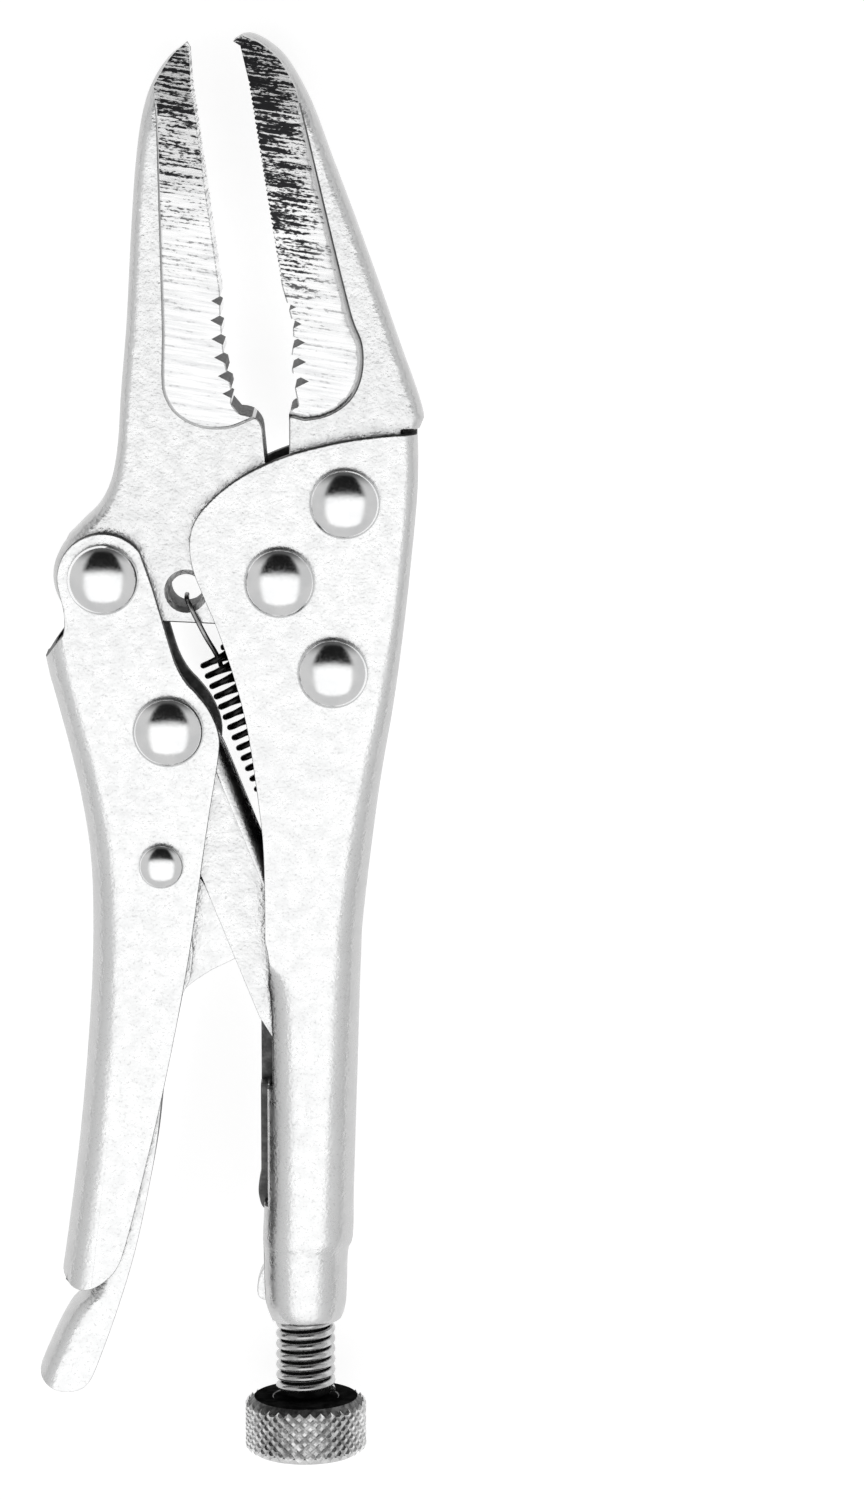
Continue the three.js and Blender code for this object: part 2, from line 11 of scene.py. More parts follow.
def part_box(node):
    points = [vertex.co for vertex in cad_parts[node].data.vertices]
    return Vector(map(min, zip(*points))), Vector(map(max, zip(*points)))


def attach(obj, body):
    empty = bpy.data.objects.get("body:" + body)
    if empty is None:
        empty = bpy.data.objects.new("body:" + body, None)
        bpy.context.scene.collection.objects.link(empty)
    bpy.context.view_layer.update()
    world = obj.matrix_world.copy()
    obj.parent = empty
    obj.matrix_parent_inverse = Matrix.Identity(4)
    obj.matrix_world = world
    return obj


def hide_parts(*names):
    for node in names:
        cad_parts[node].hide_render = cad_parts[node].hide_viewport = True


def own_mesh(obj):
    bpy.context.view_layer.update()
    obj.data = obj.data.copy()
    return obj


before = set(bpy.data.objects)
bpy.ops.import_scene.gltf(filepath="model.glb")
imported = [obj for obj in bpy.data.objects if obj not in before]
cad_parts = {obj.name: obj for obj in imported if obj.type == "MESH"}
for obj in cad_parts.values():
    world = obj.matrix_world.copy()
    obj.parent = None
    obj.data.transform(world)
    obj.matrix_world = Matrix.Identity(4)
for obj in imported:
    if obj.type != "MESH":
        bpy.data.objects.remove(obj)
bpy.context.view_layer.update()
scene = bpy.context.scene
print("frame loaded with", len(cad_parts), "nodes")

# Shapes are drawn in millimetres with the jaw pivot at zero, and put in place at the end
mm = 0.001
pivotLow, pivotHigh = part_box("jaw_pivot_rivet")
home = (pivotLow + pivotHigh) / 2
toPlace = Matrix.Translation(home) @ Matrix.Diagonal((mm, mm, mm, 1))


def middleOf(node):  # a node's middle, in the drawing's millimetres
    low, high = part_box(node)
    return ((low + high) / 2 - home) / mm


# Camera, light and floor
camera = {"lens": 139.2, "sensor": 36, "place": (0.02329, 0.1154, 0.6649), "tilt": -9.9}
studio = {  # brightness of each part, and where it fades as slopes from overhead
    "walls": 0.64, "farWall": 0.1, "wallFade": (0.4, 0.95), "backdrop": 0.9,
    "lamp": 1.18, "lampAcross": (0.45, 0.75), "lampAlong": (0.4, 0.62), "lampShift": 0.42,
    "card": 0.01, "cardAcross": (0.5, 0.85), "cardNear": (0.08, 0.26), "cardFar": (1.3, 2.6),
    "floor": 0.4, "floorGlow": 0.82, "floorHalf": 1.6, "floorLevel": -0.0002,
}


def makeCamera():
    lens = bpy.data.cameras.new("camera")
    lens.lens = camera["lens"]
    lens.sensor_width = camera["sensor"]
    holder = bpy.data.objects.new("camera", lens)
    holder.location = camera["place"]
    holder.rotation_euler = (math.radians(camera["tilt"]), 0, 0)
    scene.collection.objects.link(holder)
    scene.camera = holder
    scene.view_settings.view_transform = "Standard"


# Node helpers
def addNode(tree, kind, inputs=None, **settings):  # inputs are values, or sockets to link from
    made = tree.nodes.new(kind)
    for key, value in settings.items():
        setattr(made, key, value)
    for key, value in (inputs or {}).items():
        if isinstance(value, bpy.types.NodeSocket):
            tree.links.new(value, made.inputs[key])
        else:
            made.inputs[key].default_value = value
    return made


def sums(tree, operation, first, second=0.0):
    return addNode(tree, "ShaderNodeMath", {0: first, 1: second}, operation=operation).outputs[0]


def product(tree, first, second):
    return sums(tree, "MULTIPLY", first, second)


def towards(tree, share, first, second):  # from first to second by a share
    return sums(tree, "ADD", first, product(tree, share, sums(tree, "SUBTRACT", second, first)))


def between(tree, value, low, high, start=0.0, end=1.0):  # a smooth step from start to end
    return addNode(tree, "ShaderNodeMapRange",
                   {"Value": value, "From Min": low, "From Max": high, "To Min": start, "To Max": end},
                   interpolation_type="SMOOTHSTEP").outputs[0]


def makeStudio():
    world = bpy.data.worlds.new("studio")
    scene.world = world
    world.use_nodes = True
    tree = world.node_tree
    tree.nodes.clear()
    direction = addNode(tree, "ShaderNodeTexCoord").outputs["Generated"]
    parts = addNode(tree, "ShaderNodeSeparateXYZ", {0: direction})
    height = sums(tree, "MAXIMUM", parts.outputs["Z"], 0.02)
    across = sums(tree, "ABSOLUTE", sums(tree, "DIVIDE", parts.outputs["X"], height))
    along = sums(tree, "DIVIDE", parts.outputs["Y"], height)
    shifted = sums(tree, "ABSOLUTE", sums(tree, "ADD", along, studio["lampShift"]))
    overhead = product(tree, between(tree, across, *studio["lampAcross"], 1.0, 0.0),
                       between(tree, shifted, *studio["lampAlong"], 1.0, 0.0))
    card = product(tree, between(tree, across, *studio["cardAcross"], 1.0, 0.0),
                   product(tree, between(tree, along, *studio["cardNear"]),
                           between(tree, along, *studio["cardFar"], 1.0, 0.0)))
    walls = between(tree, parts.outputs["Y"], *studio["wallFade"], studio["walls"], studio["farWall"])
    shown = towards(tree, card, towards(tree, overhead, walls, studio["lamp"]), studio["card"])
    seen = addNode(tree, "ShaderNodeLightPath").outputs["Is Camera Ray"]  # a plain pale wall to look at
    strength = towards(tree, seen, shown, studio["backdrop"])
    background = addNode(tree, "ShaderNodeBackground", {"Color": (1, 1, 1, 1), "Strength": strength})
    output = addNode(tree, "ShaderNodeOutputWorld")
    tree.links.new(background.outputs[0], output.inputs["Surface"])


def makeFloor():
    mesh = bpy.data.meshes.new("floor")
    half, level = studio["floorHalf"], studio["floorLevel"]
    corners = ((-half, -half), (half, -half), (half, half), (-half, half))
    mesh.from_pydata([(x, y, level) for x, y in corners], [], [(0, 1, 2, 3)])
    floor = bpy.data.objects.new("floor", mesh)
    scene.collection.objects.link(floor)
    material, tree, shader = newMaterial("paleFloor", 0.0)
    shader.inputs["Base Color"].default_value = (studio["floor"],) * 3 + (1,)
    shader.inputs["Roughness"].default_value = 0.9
    shader.inputs["Emission Color"].default_value = (1, 1, 1, 1)
    shader.inputs["Emission Strength"].default_value = studio["floorGlow"]
    mesh.materials.append(material)


# Finishes
def newMaterial(name, metal=1.0):
    material = bpy.data.materials.new(name)
    material.use_nodes = True
    shader = material.node_tree.nodes["Principled BSDF"]
    shader.inputs["Metallic"].default_value = metal
    return material, material.node_tree, shader


def grain(tree, scale, detail=2.0, stretch=(1, 1, 1), turn=0.0, roughness=0.5):
    place = addNode(tree, "ShaderNodeTexCoord").outputs["Object"]
    turned = addNode(tree, "ShaderNodeMapping",
                     {"Vector": place, "Rotation": (0, 0, math.radians(turn))})
    spread = addNode(tree, "ShaderNodeMapping", {"Vector": turned.outputs[0], "Scale": stretch})
    return addNode(tree, "ShaderNodeTexNoise", {"Vector": spread.outputs[0], "Scale": scale,
                   "Detail": detail, "Roughness": roughness}).outputs[0]


def mixed(tree, share, first, second):
    colours = addNode(tree, "ShaderNodeMix", data_type="RGBA")
    for key, value in ((0, share), (6, first), (7, second)):
        if isinstance(value, bpy.types.NodeSocket):
            tree.links.new(value, colours.inputs[key])
        else:
            colours.inputs[key].default_value = value if key == 0 else tuple(value) + (1,)
    return colours.outputs[2]


def coated(tree, shader, colour, unevenness, smoothest, roughest):
    tree.links.new(colour, shader.inputs["Base Color"])
    tree.links.new(between(tree, unevenness, 0.3, 0.7, smoothest, roughest), shader.inputs["Roughness"])


def raised(tree, shader, *layers):  # layers of (height socket, depth in metres, strength)
    below = None
    for height, depth, strength in layers:
        values = {"Height": height, "Distance": depth, "Strength": strength}
        if below is not None:
            values["Normal"] = below
        below = addNode(tree, "ShaderNodeBump", values).outputs[0]
    tree.links.new(below, shader.inputs["Normal"])


def platedNickel(name, tone=0.92, gloss=0.24, pebble=0.8, steepShadeTone=0.62):  # painted shade: darker colour on steep faces round the bends
    material, tree, shader = newMaterial(name)
    pebbles = grain(tree, 2600, 2.0)
    ripples = grain(tree, 620, 3.0)
    clouds = grain(tree, 90, 2.0)
    specks = between(tree, grain(tree, 3300, 3.0, roughness=0.7), 0.55, 0.7)
    plain = mixed(tree, between(tree, clouds, 0.35, 0.65), (tone, tone * 1.004, tone * 1.004),
                  (tone * 0.97, tone * 0.974, tone * 0.976))
    speckled = mixed(tree, product(tree, specks, 0.42), plain, (tone * 0.45,) * 3)
    # painted shade: the colour darkens as the object-space normal turns away from the Z axis
    normal = addNode(tree, "ShaderNodeTexCoord").outputs["Normal"]
    upward = addNode(tree, "ShaderNodeSeparateXYZ", {0: normal}).outputs["Z"]
    steep = between(tree, sums(tree, "ABSOLUTE", upward), 0.6, 0.985, 1.0, 0.0)
    coated(tree, shader, mixed(tree, steep, speckled, (tone * steepShadeTone,) * 3), ripples, gloss, gloss + 0.1)
    raised(tree, shader, (ripples, 0.00004, pebble), (pebbles, 0.00006, pebble))
    return material


whiteSteel, paleSteel, grime = (0.93, 0.93, 0.93), (0.84, 0.845, 0.85), (0.03, 0.03, 0.032)


def groundSteel(name, darkFrom, darkTo, most, fade):  # grinding lines, darker towards the jaw's tip
    material, tree, shader = newMaterial(name)
    slope = 9.0
    lines = grain(tree, 1.0, 4.0, (170, 2900, 60), slope, 0.65)
    broad = grain(tree, 1.0, 2.0, (90, 800, 40), slope)
    speckle = grain(tree, 1.0, 3.0, (1700, 4000, 900), slope, 0.6)
    patches = grain(tree, 300, 3.0, (0.6, 1, 1), slope)
    place = addNode(tree, "ShaderNodeTexCoord").outputs["Object"]
    parts = addNode(tree, "ShaderNodeSeparateXYZ", {0: place})
    along = parts.outputs["Y"]
    across = sums(tree, "ADD", parts.outputs["X"], product(tree, along, 0.16))
    amount = product(tree, between(tree, along, darkFrom, darkTo, 0.0, most),
                  between(tree, across, fade[0], fade[1], 1.0, fade[2]))
    mark = 0.0
    for layer, weight in ((lines, 0.5), (speckle, 0.34), (broad, 0.07), (patches, 0.09)):
        mark = sums(tree, "ADD", mark, product(tree, layer, weight))
    limit = sums(tree, "SUBTRACT", 0.575, product(tree, amount, 0.13))
    depth = between(tree, amount, 0.0, 0.45, 0.3, 1.0)  # faint lines where there is little grime
    dark = product(tree, depth,
                between(tree, sums(tree, "SUBTRACT", mark, limit), -0.015, 0.03))
    light = mixed(tree, between(tree, lines, 0.35, 0.65), whiteSteel, paleSteel)
    coated(tree, shader, mixed(tree, dark, light, grime), lines, 0.2, 0.32)
    raised(tree, shader, (lines, 0.00003, 0.35))
    return material


def polishedRivet(name):
    material, tree, shader = newMaterial(name)
    soft = grain(tree, 420, 2.0)
    fine = grain(tree, 3800, 2.0)
    coated(tree, shader, mixed(tree, between(tree, soft, 0.3, 0.7), (0.92, 0.92, 0.92), paleSteel),
           fine, 0.11, 0.19)
    raised(tree, shader, (soft, 0.00008, 0.25), (fine, 0.00001, 0.25))
    return material


def darkSteel(name, dark, light, gloss, metal=1.0, scale=900):
    material, tree, shader = newMaterial(name, metal)
    shader.inputs["Specular IOR Level"].default_value = 0.0
    blotches = grain(tree, scale, 4.0)
    fine = grain(tree, 4200, 2.0)
    coated(tree, shader, mixed(tree, between(tree, blotches, 0.35, 0.7), (dark,) * 3, (light,) * 3),
           fine, gloss, gloss + 0.14)
    raised(tree, shader, (blotches, 0.00004, 0.3), (fine, 0.00001, 0.3))
    return material


def makeFinishes():
    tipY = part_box("fixed_jaw")[1].y
    finishes = {
        "nickel": platedNickel("platedNickel"),
        "jawNickel": platedNickel("forgedNickel", tone=0.9, gloss=0.26, pebble=0.9),
        # painted shade: a dark nickel for the insides of channels, the seam's lips, the spring's tab and a
        # thin band at the jaws' pad step
        "paintedShadeNickel": darkSteel("paintedShadeNickel", 0.10, 0.2, 0.4),
        # the cut edges' own darker finish deepened with painted shade; also painted shade on the jaws'
        # throat walls and walls facing +Y
        "cutEdgeAndShade": darkSteel("shearedEdgePaintedShade", 0.03, 0.09, 0.45),
        # painted shade on the release lever's edges
        "edgeShadeNickel": darkSteel("platedEdgePaintedShade", 0.14, 0.24, 0.32),
        "fixedGround": groundSteel("groundFixedJaw", tipY - 0.041, tipY - 0.01, 0.92,
                                   (home.x + 0.011, home.x + 0.0155, 0.4)),
        "movingGround": groundSteel("groundMovingJaw", tipY - 0.036, tipY - 0.004, 0.62,
                                    (home.x, home.x + 0.002, 1.0)),
        "rivet": polishedRivet("polishedRivet"),
        # the coil's wire is given a far darker tone than the hook's wire
        "spring": darkSteel("darkerCoilWire", 0.02, 0.06, 0.24),
        "hookWire": darkSteel("brightSpringWire", 0.3, 0.46, 0.22),
        "thread": darkSteel("screwThread", 0.5, 0.62, 0.16, scale=1400),
        # near-black steel: the screw's black finish, with painted shade in the thread's root and on the
        # knob's face toward the screw
        "root": darkSteel("blackSteelAndPaintedShade", 0.006, 0.02, 0.45, metal=0.0),
        # painted shade in the knurl's grooves and a painted highlight on its points
        "knobGroovePaintedShade": darkSteel("knurlGroovePaintedShade", 0.06, 0.2, 0.4, scale=1500),
        "knobPointPaintedHighlight": darkSteel("knurlPointPaintedHighlight", 0.5, 0.9, 0.24, scale=1300),
    }
    finishes["sheet"] = [finishes[part] for part in ("nickel", "paintedShadeNickel", "cutEdgeAndShade")]
    return finishes


# Outlines
def through(points, steps=8):  # a smooth curve through rows of any number of values
    rows = [np.array(p, float) for p in [points[0], *points, points[-1]]]
    made = []
    for a, b, c, d in zip(rows, rows[1:], rows[2:], rows[3:]):
        for k in range(steps):
            t = k / steps
            made.append(tuple(0.5 * (2 * b + (c - a) * t + (2 * a - 5 * b + 4 * c - d) * t ** 2
                                     + (3 * b - a - 3 * c + d) * t ** 3)))
    return made + [tuple(rows[-1])]


def arc(centre, radius, start, end, steps=28):  # start and end in half turns
    turns = [math.pi * (start + (end - start) * k / steps) for k in range(steps + 1)]
    return [(centre[0] + radius * math.cos(a), centre[1] + radius * math.sin(a)) for a in turns]


def bend(first, corner, last, steps=8):
    made = []
    for k in range(steps + 1):
        t = k / steps
        made.append(tuple((1 - t) ** 2 * f + 2 * t * (1 - t) * c + t * t * g
                          for f, c, g in zip(first, corner, last)))
    return made


def joined(*stretches, spacing=0.08):
    points = []
    for x, y in (p for stretch in stretches for p in stretch):
        if not points or math.dist(points[-1], (x, y)) > spacing:
            points.append((float(x), float(y)))
    if math.dist(points[0], points[-1]) < spacing:
        points.pop()
    return points


def fineLine(points, step=0.6):  # an open line with a point at least every step
    made = []
    for (ax, ay), (bx, by) in zip(points, points[1:]):
        count = max(1, math.ceil(math.dist((ax, ay), (bx, by)) / step))
        made += [(ax + (bx - ax) * k / count, ay + (by - ay) * k / count) for k in range(count)]
    return made + [tuple(points[-1])]


# Meshes
def meshOf(name, points, faces):
    mesh = bpy.data.meshes.new(name)
    mesh.from_pydata(points, [], faces)
    work = bmesh.new()
    work.from_mesh(mesh)
    bmesh.ops.recalc_face_normals(work, faces=work.faces)
    work.to_mesh(mesh)
    work.free()
    return mesh


def slab(outline, low, high):
    count = len(outline)
    points = [(x, y, z) for z in (low, high) for x, y in outline]
    faces = [tuple(range(count)), tuple(range(count, 2 * count))]
    faces += [(k, (k + 1) % count, (k + 1) % count + count, k + count) for k in range(count)]
    return meshOf("slab", points, faces)


def skinned(rings):  # a closed skin over rings of as many points each
    count = len(rings[0])
    faces = []
    for row in range(len(rings) - 1):
        for k in range(count):
            a, b = row * count + k, row * count + (k + 1) % count
            faces.append((a, b, b + count, a + count))
    last = (len(rings) - 1) * count
    faces += [tuple(range(count)), tuple(range(last, last + count))]
    return meshOf("skin", [p for ring in rings for p in ring], faces)


def roundedRing(y, left, right, half, leftRound, rightRound, steps=8):
    ring = []
    corners = ((right - rightRound, half - rightRound, rightRound, 0.0),
               (left + leftRound, half - leftRound, leftRound, 0.5),
               (left + leftRound, leftRound - half, leftRound, 1.0),
               (right - rightRound, rightRound - half, rightRound, 1.5))
    for x, z, radius, start in corners:
        for k in range(steps + 1):
            angle = math.pi * (start + 0.5 * k / steps)
            ring.append((x + radius * math.cos(angle), y, z + radius * math.sin(angle)))
    return ring


def turned(profile, sides):  # profile of (radius, height) about Z, from 0 to 0
    points = [(0, 0, profile[0][1])]
    for radius, height in profile[1:-1]:
        for k in range(sides):
            angle = 2 * math.pi * k / sides
            points.append((radius * math.cos(angle), radius * math.sin(angle), height))
    points.append((0, 0, profile[-1][1]))
    rows = len(profile) - 2
    end = len(points) - 1
    faces = []
    for k in range(sides):
        after = (k + 1) % sides
        faces.append((0, 1 + after, 1 + k))
        faces.append((end, 1 + (rows - 1) * sides + k, 1 + (rows - 1) * sides + after))
        for row in range(rows - 1):
            a = 1 + row * sides
            faces.append((a + k, a + after, a + sides + after, a + sides + k))
    return meshOf("turned", points, faces)


def alongY(x, y=0.0):  # turns a shape about Z into one about the screw's line
    return Matrix.Translation((x, y, 0)) @ Matrix.Rotation(math.radians(-90), 4, "X")


def barAt(centre, radius, half=9.0, sides=48):
    mesh = turned([(0, -half), (radius, -half), (radius, half), (0, half)], sides)
    mesh.transform(Matrix.Translation((centre[0], centre[1], 0)))
    return mesh


def moved(mesh, matrix):
    mesh.transform(matrix)
    return mesh


def held(mesh):
    thing = bpy.data.objects.new("work", mesh)
    scene.collection.objects.link(thing)
    return thing


def evaluated(thing):
    graph = bpy.context.evaluated_depsgraph_get()
    graph.update()
    return bpy.data.meshes.new_from_object(thing.evaluated_get(graph),
                                           preserve_all_data_layers=True, depsgraph=graph)


def worked(mesh, steps):  # steps of (operation, tool mesh)
    thing = held(mesh)
    tools = []
    for operation, shape in steps:
        tool = held(shape)
        modifier = thing.modifiers.new(operation, "BOOLEAN")
        modifier.operation = operation
        modifier.solver = "MANIFOLD"
        modifier.object = tool
        tools.append(tool)
    result = evaluated(thing)
    for spent in [thing, *tools]:
        bpy.data.objects.remove(spent)
    return result


def cleaned(mesh, near=0.02, flatten=True, split=False):  # welds, and joins up the flat faces
    work = bmesh.new()
    work.from_mesh(mesh)
    bmesh.ops.remove_doubles(work, verts=work.verts, dist=near)
    bmesh.ops.dissolve_degenerate(work, edges=work.edges, dist=near)
    if flatten:
        bmesh.ops.dissolve_limit(work, angle_limit=math.radians(0.3), verts=work.verts, edges=work.edges)
    if split:  # so that easing can't close a face over a hole
        bmesh.ops.triangulate(work, faces=[face for face in work.faces if len(face.verts) > 4])
    work.to_mesh(mesh)
    work.free()
    return mesh


def changed(mesh, kind, **settings):  # the mesh as a modifier leaves it
    thing = held(mesh)
    modifier = thing.modifiers.new("change", kind)
    for key, value in settings.items():
        setattr(modifier, key, value)
    result = evaluated(thing)
    bpy.data.objects.remove(thing)
    return result


def eased(mesh, width):  # rounds the sharp edges
    return changed(mesh, "BEVEL", width=width, segments=2, limit_method="ANGLE",
                   angle_limit=math.radians(32), use_clamp_overlap=False)


def smoothed(mesh, angle):
    mesh.shade_smooth()
    mesh.set_sharp_from_angle(angle=math.radians(angle))
    return mesh


def shaded(mesh, angle=38):  # evens the shading over flat faces
    return changed(smoothed(mesh, angle), "WEIGHTED_NORMAL", keep_sharp=True)


def painted(mesh, index):
    for face in mesh.polygons:
        face.material_index = index
    return mesh


def treeOf(mesh):
    return BVHTree.FromPolygons([v.co for v in mesh.vertices], [p.vertices[:] for p in mesh.polygons])


def markNear(mesh, surface, index, reach=0.03, where=lambda face: True):
    for face in mesh.polygons:
        found = surface.find_nearest(face.center)
        if found[0] is not None and found[3] < reach and where(face):
            face.material_index = index


def markSheet(mesh, inside, edges):  # painted shade: darker finishes on the inside and the cut edges of bent sheet
    for surface in inside:
        markNear(mesh, surface, 1)
    markNear(mesh, edges, 2, where=lambda face: abs(face.normal.z) < 0.5)


def placed(name, mesh, body, slotName, finishes, *nodes):
    mesh.transform(toPlace)
    mesh.name = name
    piece = bpy.data.objects.new(name, mesh)
    scene.collection.objects.link(piece)
    chosen = [face.material_index for face in mesh.polygons]
    mesh.materials.clear()
    for finish in finishes:
        mesh.materials.append(finish)
    mesh.polygons.foreach_set("material_index", chosen)
    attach(piece, body)
    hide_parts(*nodes)
    return piece


# Geometry node helpers
def newTree(name, floats, integers=()):
    tree = bpy.data.node_groups.new(name, "GeometryNodeTree")
    tree.interface.new_socket("Geometry", in_out="INPUT", socket_type="NodeSocketGeometry")
    tree.interface.new_socket("Geometry", in_out="OUTPUT", socket_type="NodeSocketGeometry")
    for kind, labels in (("Float", floats), ("Int", integers)):
        for label in labels:
            tree.interface.new_socket(label, in_out="INPUT", socket_type="NodeSocket" + kind)
    return tree, addNode(tree, "NodeGroupInput").outputs


def onCircle(tree, angle, radius, height):
    return addNode(tree, "ShaderNodeCombineXYZ", {
        "X": product(tree, sums(tree, "COSINE", angle), radius),
        "Y": product(tree, sums(tree, "SINE", angle), radius), "Z": height}).outputs[0]


def closeTree(tree, geometry, finish):
    real = addNode(tree, "GeometryNodeRealizeInstances", {"Geometry": geometry})
    painted = addNode(tree, "GeometryNodeSetMaterial",
                      {"Geometry": real.outputs[0], "Material": finish})
    addNode(tree, "NodeGroupOutput", {"Geometry": painted.outputs[0]})


def grown(tree, values, base=None):  # the mesh that a tree makes with these named values
    thing = held(base or bpy.data.meshes.new("empty"))
    modifier = thing.modifiers.new("grow", "NODES")
    modifier.node_group = tree
    for item in tree.interface.items_tree:
        if item.in_out == "INPUT" and item.name in values:
            modifier[item.identifier] = values[item.name]
    result = evaluated(thing)
    bpy.data.objects.remove(thing)
    return result


def combined(*meshes):
    work = bmesh.new()
    for mesh in meshes:
        work.from_mesh(mesh)
    result = bpy.data.meshes.new("combined")
    work.to_mesh(result)
    work.free()
    return result


# Frame handle: a channel whose back bends in to a tube
frameHandle = {
    "sheet": 1.6, "half": 5.5, "ease": 0.14,
    "tubeStart": -59.5, "tubeEnd": -87.6, "bore": 3.85, "seam": (0.6, 1.5),
}
frameLip = {"left": -2.65, "bottom": -74.0, "low": -4.3, "high": -1.4, "linkEnd": -59.8, "linkHigh": -3.7}
frameTab = {"left": 0.4, "right": 9.2, "bottom": -34.2, "top": -32.6, "half": 2.4}  # holds the spring
beyond = 10  # cutting shapes reach this far from the mid-plane
frameRows = [  # y, left, right, half thickness, left bend, right bend
    (24.0, -16, 15.6, 5.5, 0.5, 1.8), (19.0, -16, 15.6, 5.5, 0.5, 1.8),
    (11.0, -16, 15.7, 5.5, 0.5, 1.8), (1.8, -16, 14.9, 5.5, 0.5, 1.8),
    (-6.3, -14, 14.0, 5.5, 0.5, 2.0), (-14.4, -12, 12.9, 5.5, 0.5, 2.4),
    (-22.6, -10, 11.5, 5.5, 0.5, 3.0), (-31.4, -8, 10.3, 5.5, 0.5, 3.5),
    (-40.2, -6, 9.3, 5.5, 1.0, 3.7), (-44.5, -3.2, 9.1, 5.5, 2.6, 3.8),
    (-48.0, -2.3, 8.95, 5.5, 4.0, 3.9), (-59.5, -2.2, 8.6, 5.4, 4.3, 4.2),
    (-72.0, -2.2, 8.2, 5.4, 4.3, 4.3), (-77.5, -2.4, 8.1, 5.3, 4.3, 4.4),
    (-79.5, -2.35, 7.5, 5.0, 4.3, 4.4), (-85.0, -2.2, 7.3, 4.9, 4.2, 4.4),
    (-87.0, -1.7, 6.9, 4.65, 4.0, 4.1), (-87.6, -1.4, 6.5, 4.3, 3.9, 4.0),
]


def frameOutline():
    return joined(
        [(18, 16.8), (13.0, 16.7)],
        through([(13.0, 16.7), (8.6, 16.2), (4.6, 15.4), (0.1, 14.1), (-4.4, 11.9), (-7.6, 9.4),
                 (-9.6, 6.9), (-10.2, 4.4), (-9.9, 1.6), (-8.8, -1.4), (-7.1, -5.5), (-5.3, -10.9),
                 (-3.9, -16.4), (-2.9, -22.8), (-2.1, -29.8), (-1.9, -36.0), (-1.9, -41.8)]),
        bend((-1.9, -41.8), (-1.1, -44.0), (-1.75, -47.5)),
        [(-1.75, -73.6), (-5, -74.4), (-5, -92), (18, -92)], spacing=0.3)


def frameLips():  # the seam's folded edges, and the spring's tab
    left, bottom, end = frameLip["left"], frameLip["bottom"], frameLip["linkEnd"]
    low, high = frameLip["low"], frameLip["high"]
    lower = joined([(-0.6, end), (left, end), (left, bottom + 3.5)],
                   through([(left, bottom + 3.5), (left - 0.3, bottom + 1.9), (left - 0.25, bottom + 0.5),
                            (left + 0.3, bottom - 0.9), (-0.6, bottom - 1.6)], 5), spacing=0.2)
    underLink = [(-0.6, end - 0.4), (-0.6, -48.0), (left + 0.04, -49.0), (left + 0.04, end - 0.4)]
    fold = joined(through([(-0.6, -81.4), (-2.3, -82.0), (-3.1, -83.8), (-3.0, -85.6), (-1.6, -86.2)], 6),
                  [(-0.6, -86.1)])
    tab = [(frameTab[x], frameTab[y]) for x, y in
           (("left", "bottom"), ("right", "bottom"), ("right", "top"), ("left", "top"))]
    # painted shade: the lower lip, the strip under the link and the spring's tab take the dark inside
    # finish
    return [painted(shaded(eased(slab(lower, low, high), 0.25)), 1),
            painted(shaded(eased(slab(underLink, low + 0.05, frameLip["linkHigh"]), 0.1)), 1),
            shaded(eased(slab(fold, low, high), 0.25)),
            shaded(painted(eased(slab(tab, -frameTab["half"], frameTab["half"]), 0.2), 1))]


def makeFrameHandle(finishes, holes):
    spec = frameHandle
    rows = through(frameRows, 4)
    inner = [roundedRing(y, -25, right - spec["sheet"], spec["half"] - spec["sheet"], 0.4,
                         max(rightRound - spec["sheet"], 0.4))
             for y, left, right, half, leftRound, rightRound in rows if y >= spec["tubeStart"]]
    channel = skinned([[(x, y + 5, z) for x, y, z in inner[0]], *inner])
    screwX = middleOf("knurled_knob").x
    above, below, radius = spec["tubeStart"] + 1, spec["tubeEnd"] - 3, spec["bore"]
    bore = moved(turned([(0, below), (radius, below), (radius, above), (0, above)], 48), alongY(screwX))
    seam = slab([(-6, below), (screwX, below), (screwX, above), (-6, above)], *spec["seam"])
    outline = slab(frameOutline(), -beyond, beyond)
    edges, inside = treeOf(outline), [treeOf(shape) for shape in (channel, bore, seam)]
    cutters = [channel, bore, seam, *(barAt(centre, size) for centre, size in holes)]
    body = worked(skinned([roundedRing(*row) for row in rows]),
                  [("INTERSECT", outline), *(("DIFFERENCE", shape) for shape in cutters)])
    body = eased(cleaned(body, split=True), spec["ease"])
    markSheet(body, inside, edges)
    placed("frame_handle_sheet", combined(shaded(body), *frameLips()), "frame", "plated_steel",
           finishes["sheet"], "frame_handle")
    print("frame handle made")


# Lever handle: a channel open to the right
leverHandle = {"sheet": 1.5, "half": 5.4, "right": 8, "rightRound": 0.4, "ease": 0.14}
leverRows = [  # y, left, left bend
    (9, -30, 3.2), (-8.7, -26.9, 3.2), (-13.3, -25.8, 3.2), (-19.1, -24.3, 3.2), (-25.5, -22.9, 3.3),
    (-33.0, -21.9, 3.4), (-42.6, -21.8, 3.6), (-53.2, -22.4, 3.7), (-64.0, -23.4, 3.7),
    (-72.9, -24.5, 3.7), (-84.0, -26.1, 3.7),
]


def leverOutline(pivot):
    return joined(
        [(-32, -8.9), (-26.7, -8.9)], bend((-26.7, -8.9), (-25.6, -7.2), (-24.7, -6.2)),
        bend((-24.7, -6.2), (-24.2, -4.4), (-24.9, -2.0)), arc(pivot, 5.2, 1.08, 0.2),
        [(-14.5, -0.7), (-12.4, -8.0)], bend((-12.4, -8.0), (-11.6, -11.0), (-9.8, -12.6)),
        through([(-9.8, -12.6), (-8.2, -14.7), (-7.1, -17.4), (-7.1, -20.2), (-8.2, -27.0), (-9.1, -33.0),
                 (-10.3, -41.5), (-11.9, -50.6), (-14.1, -61.2), (-16.1, -69.5), (-18.0, -76.9),
                 (-19.1, -80.1), (-20.6, -81.9), (-22.4, -82.9), (-24.1, -82.9), (-25.3, -81.9),
                 (-25.9, -80.2)]),
        [(-32, -79.8)], spacing=0.3)


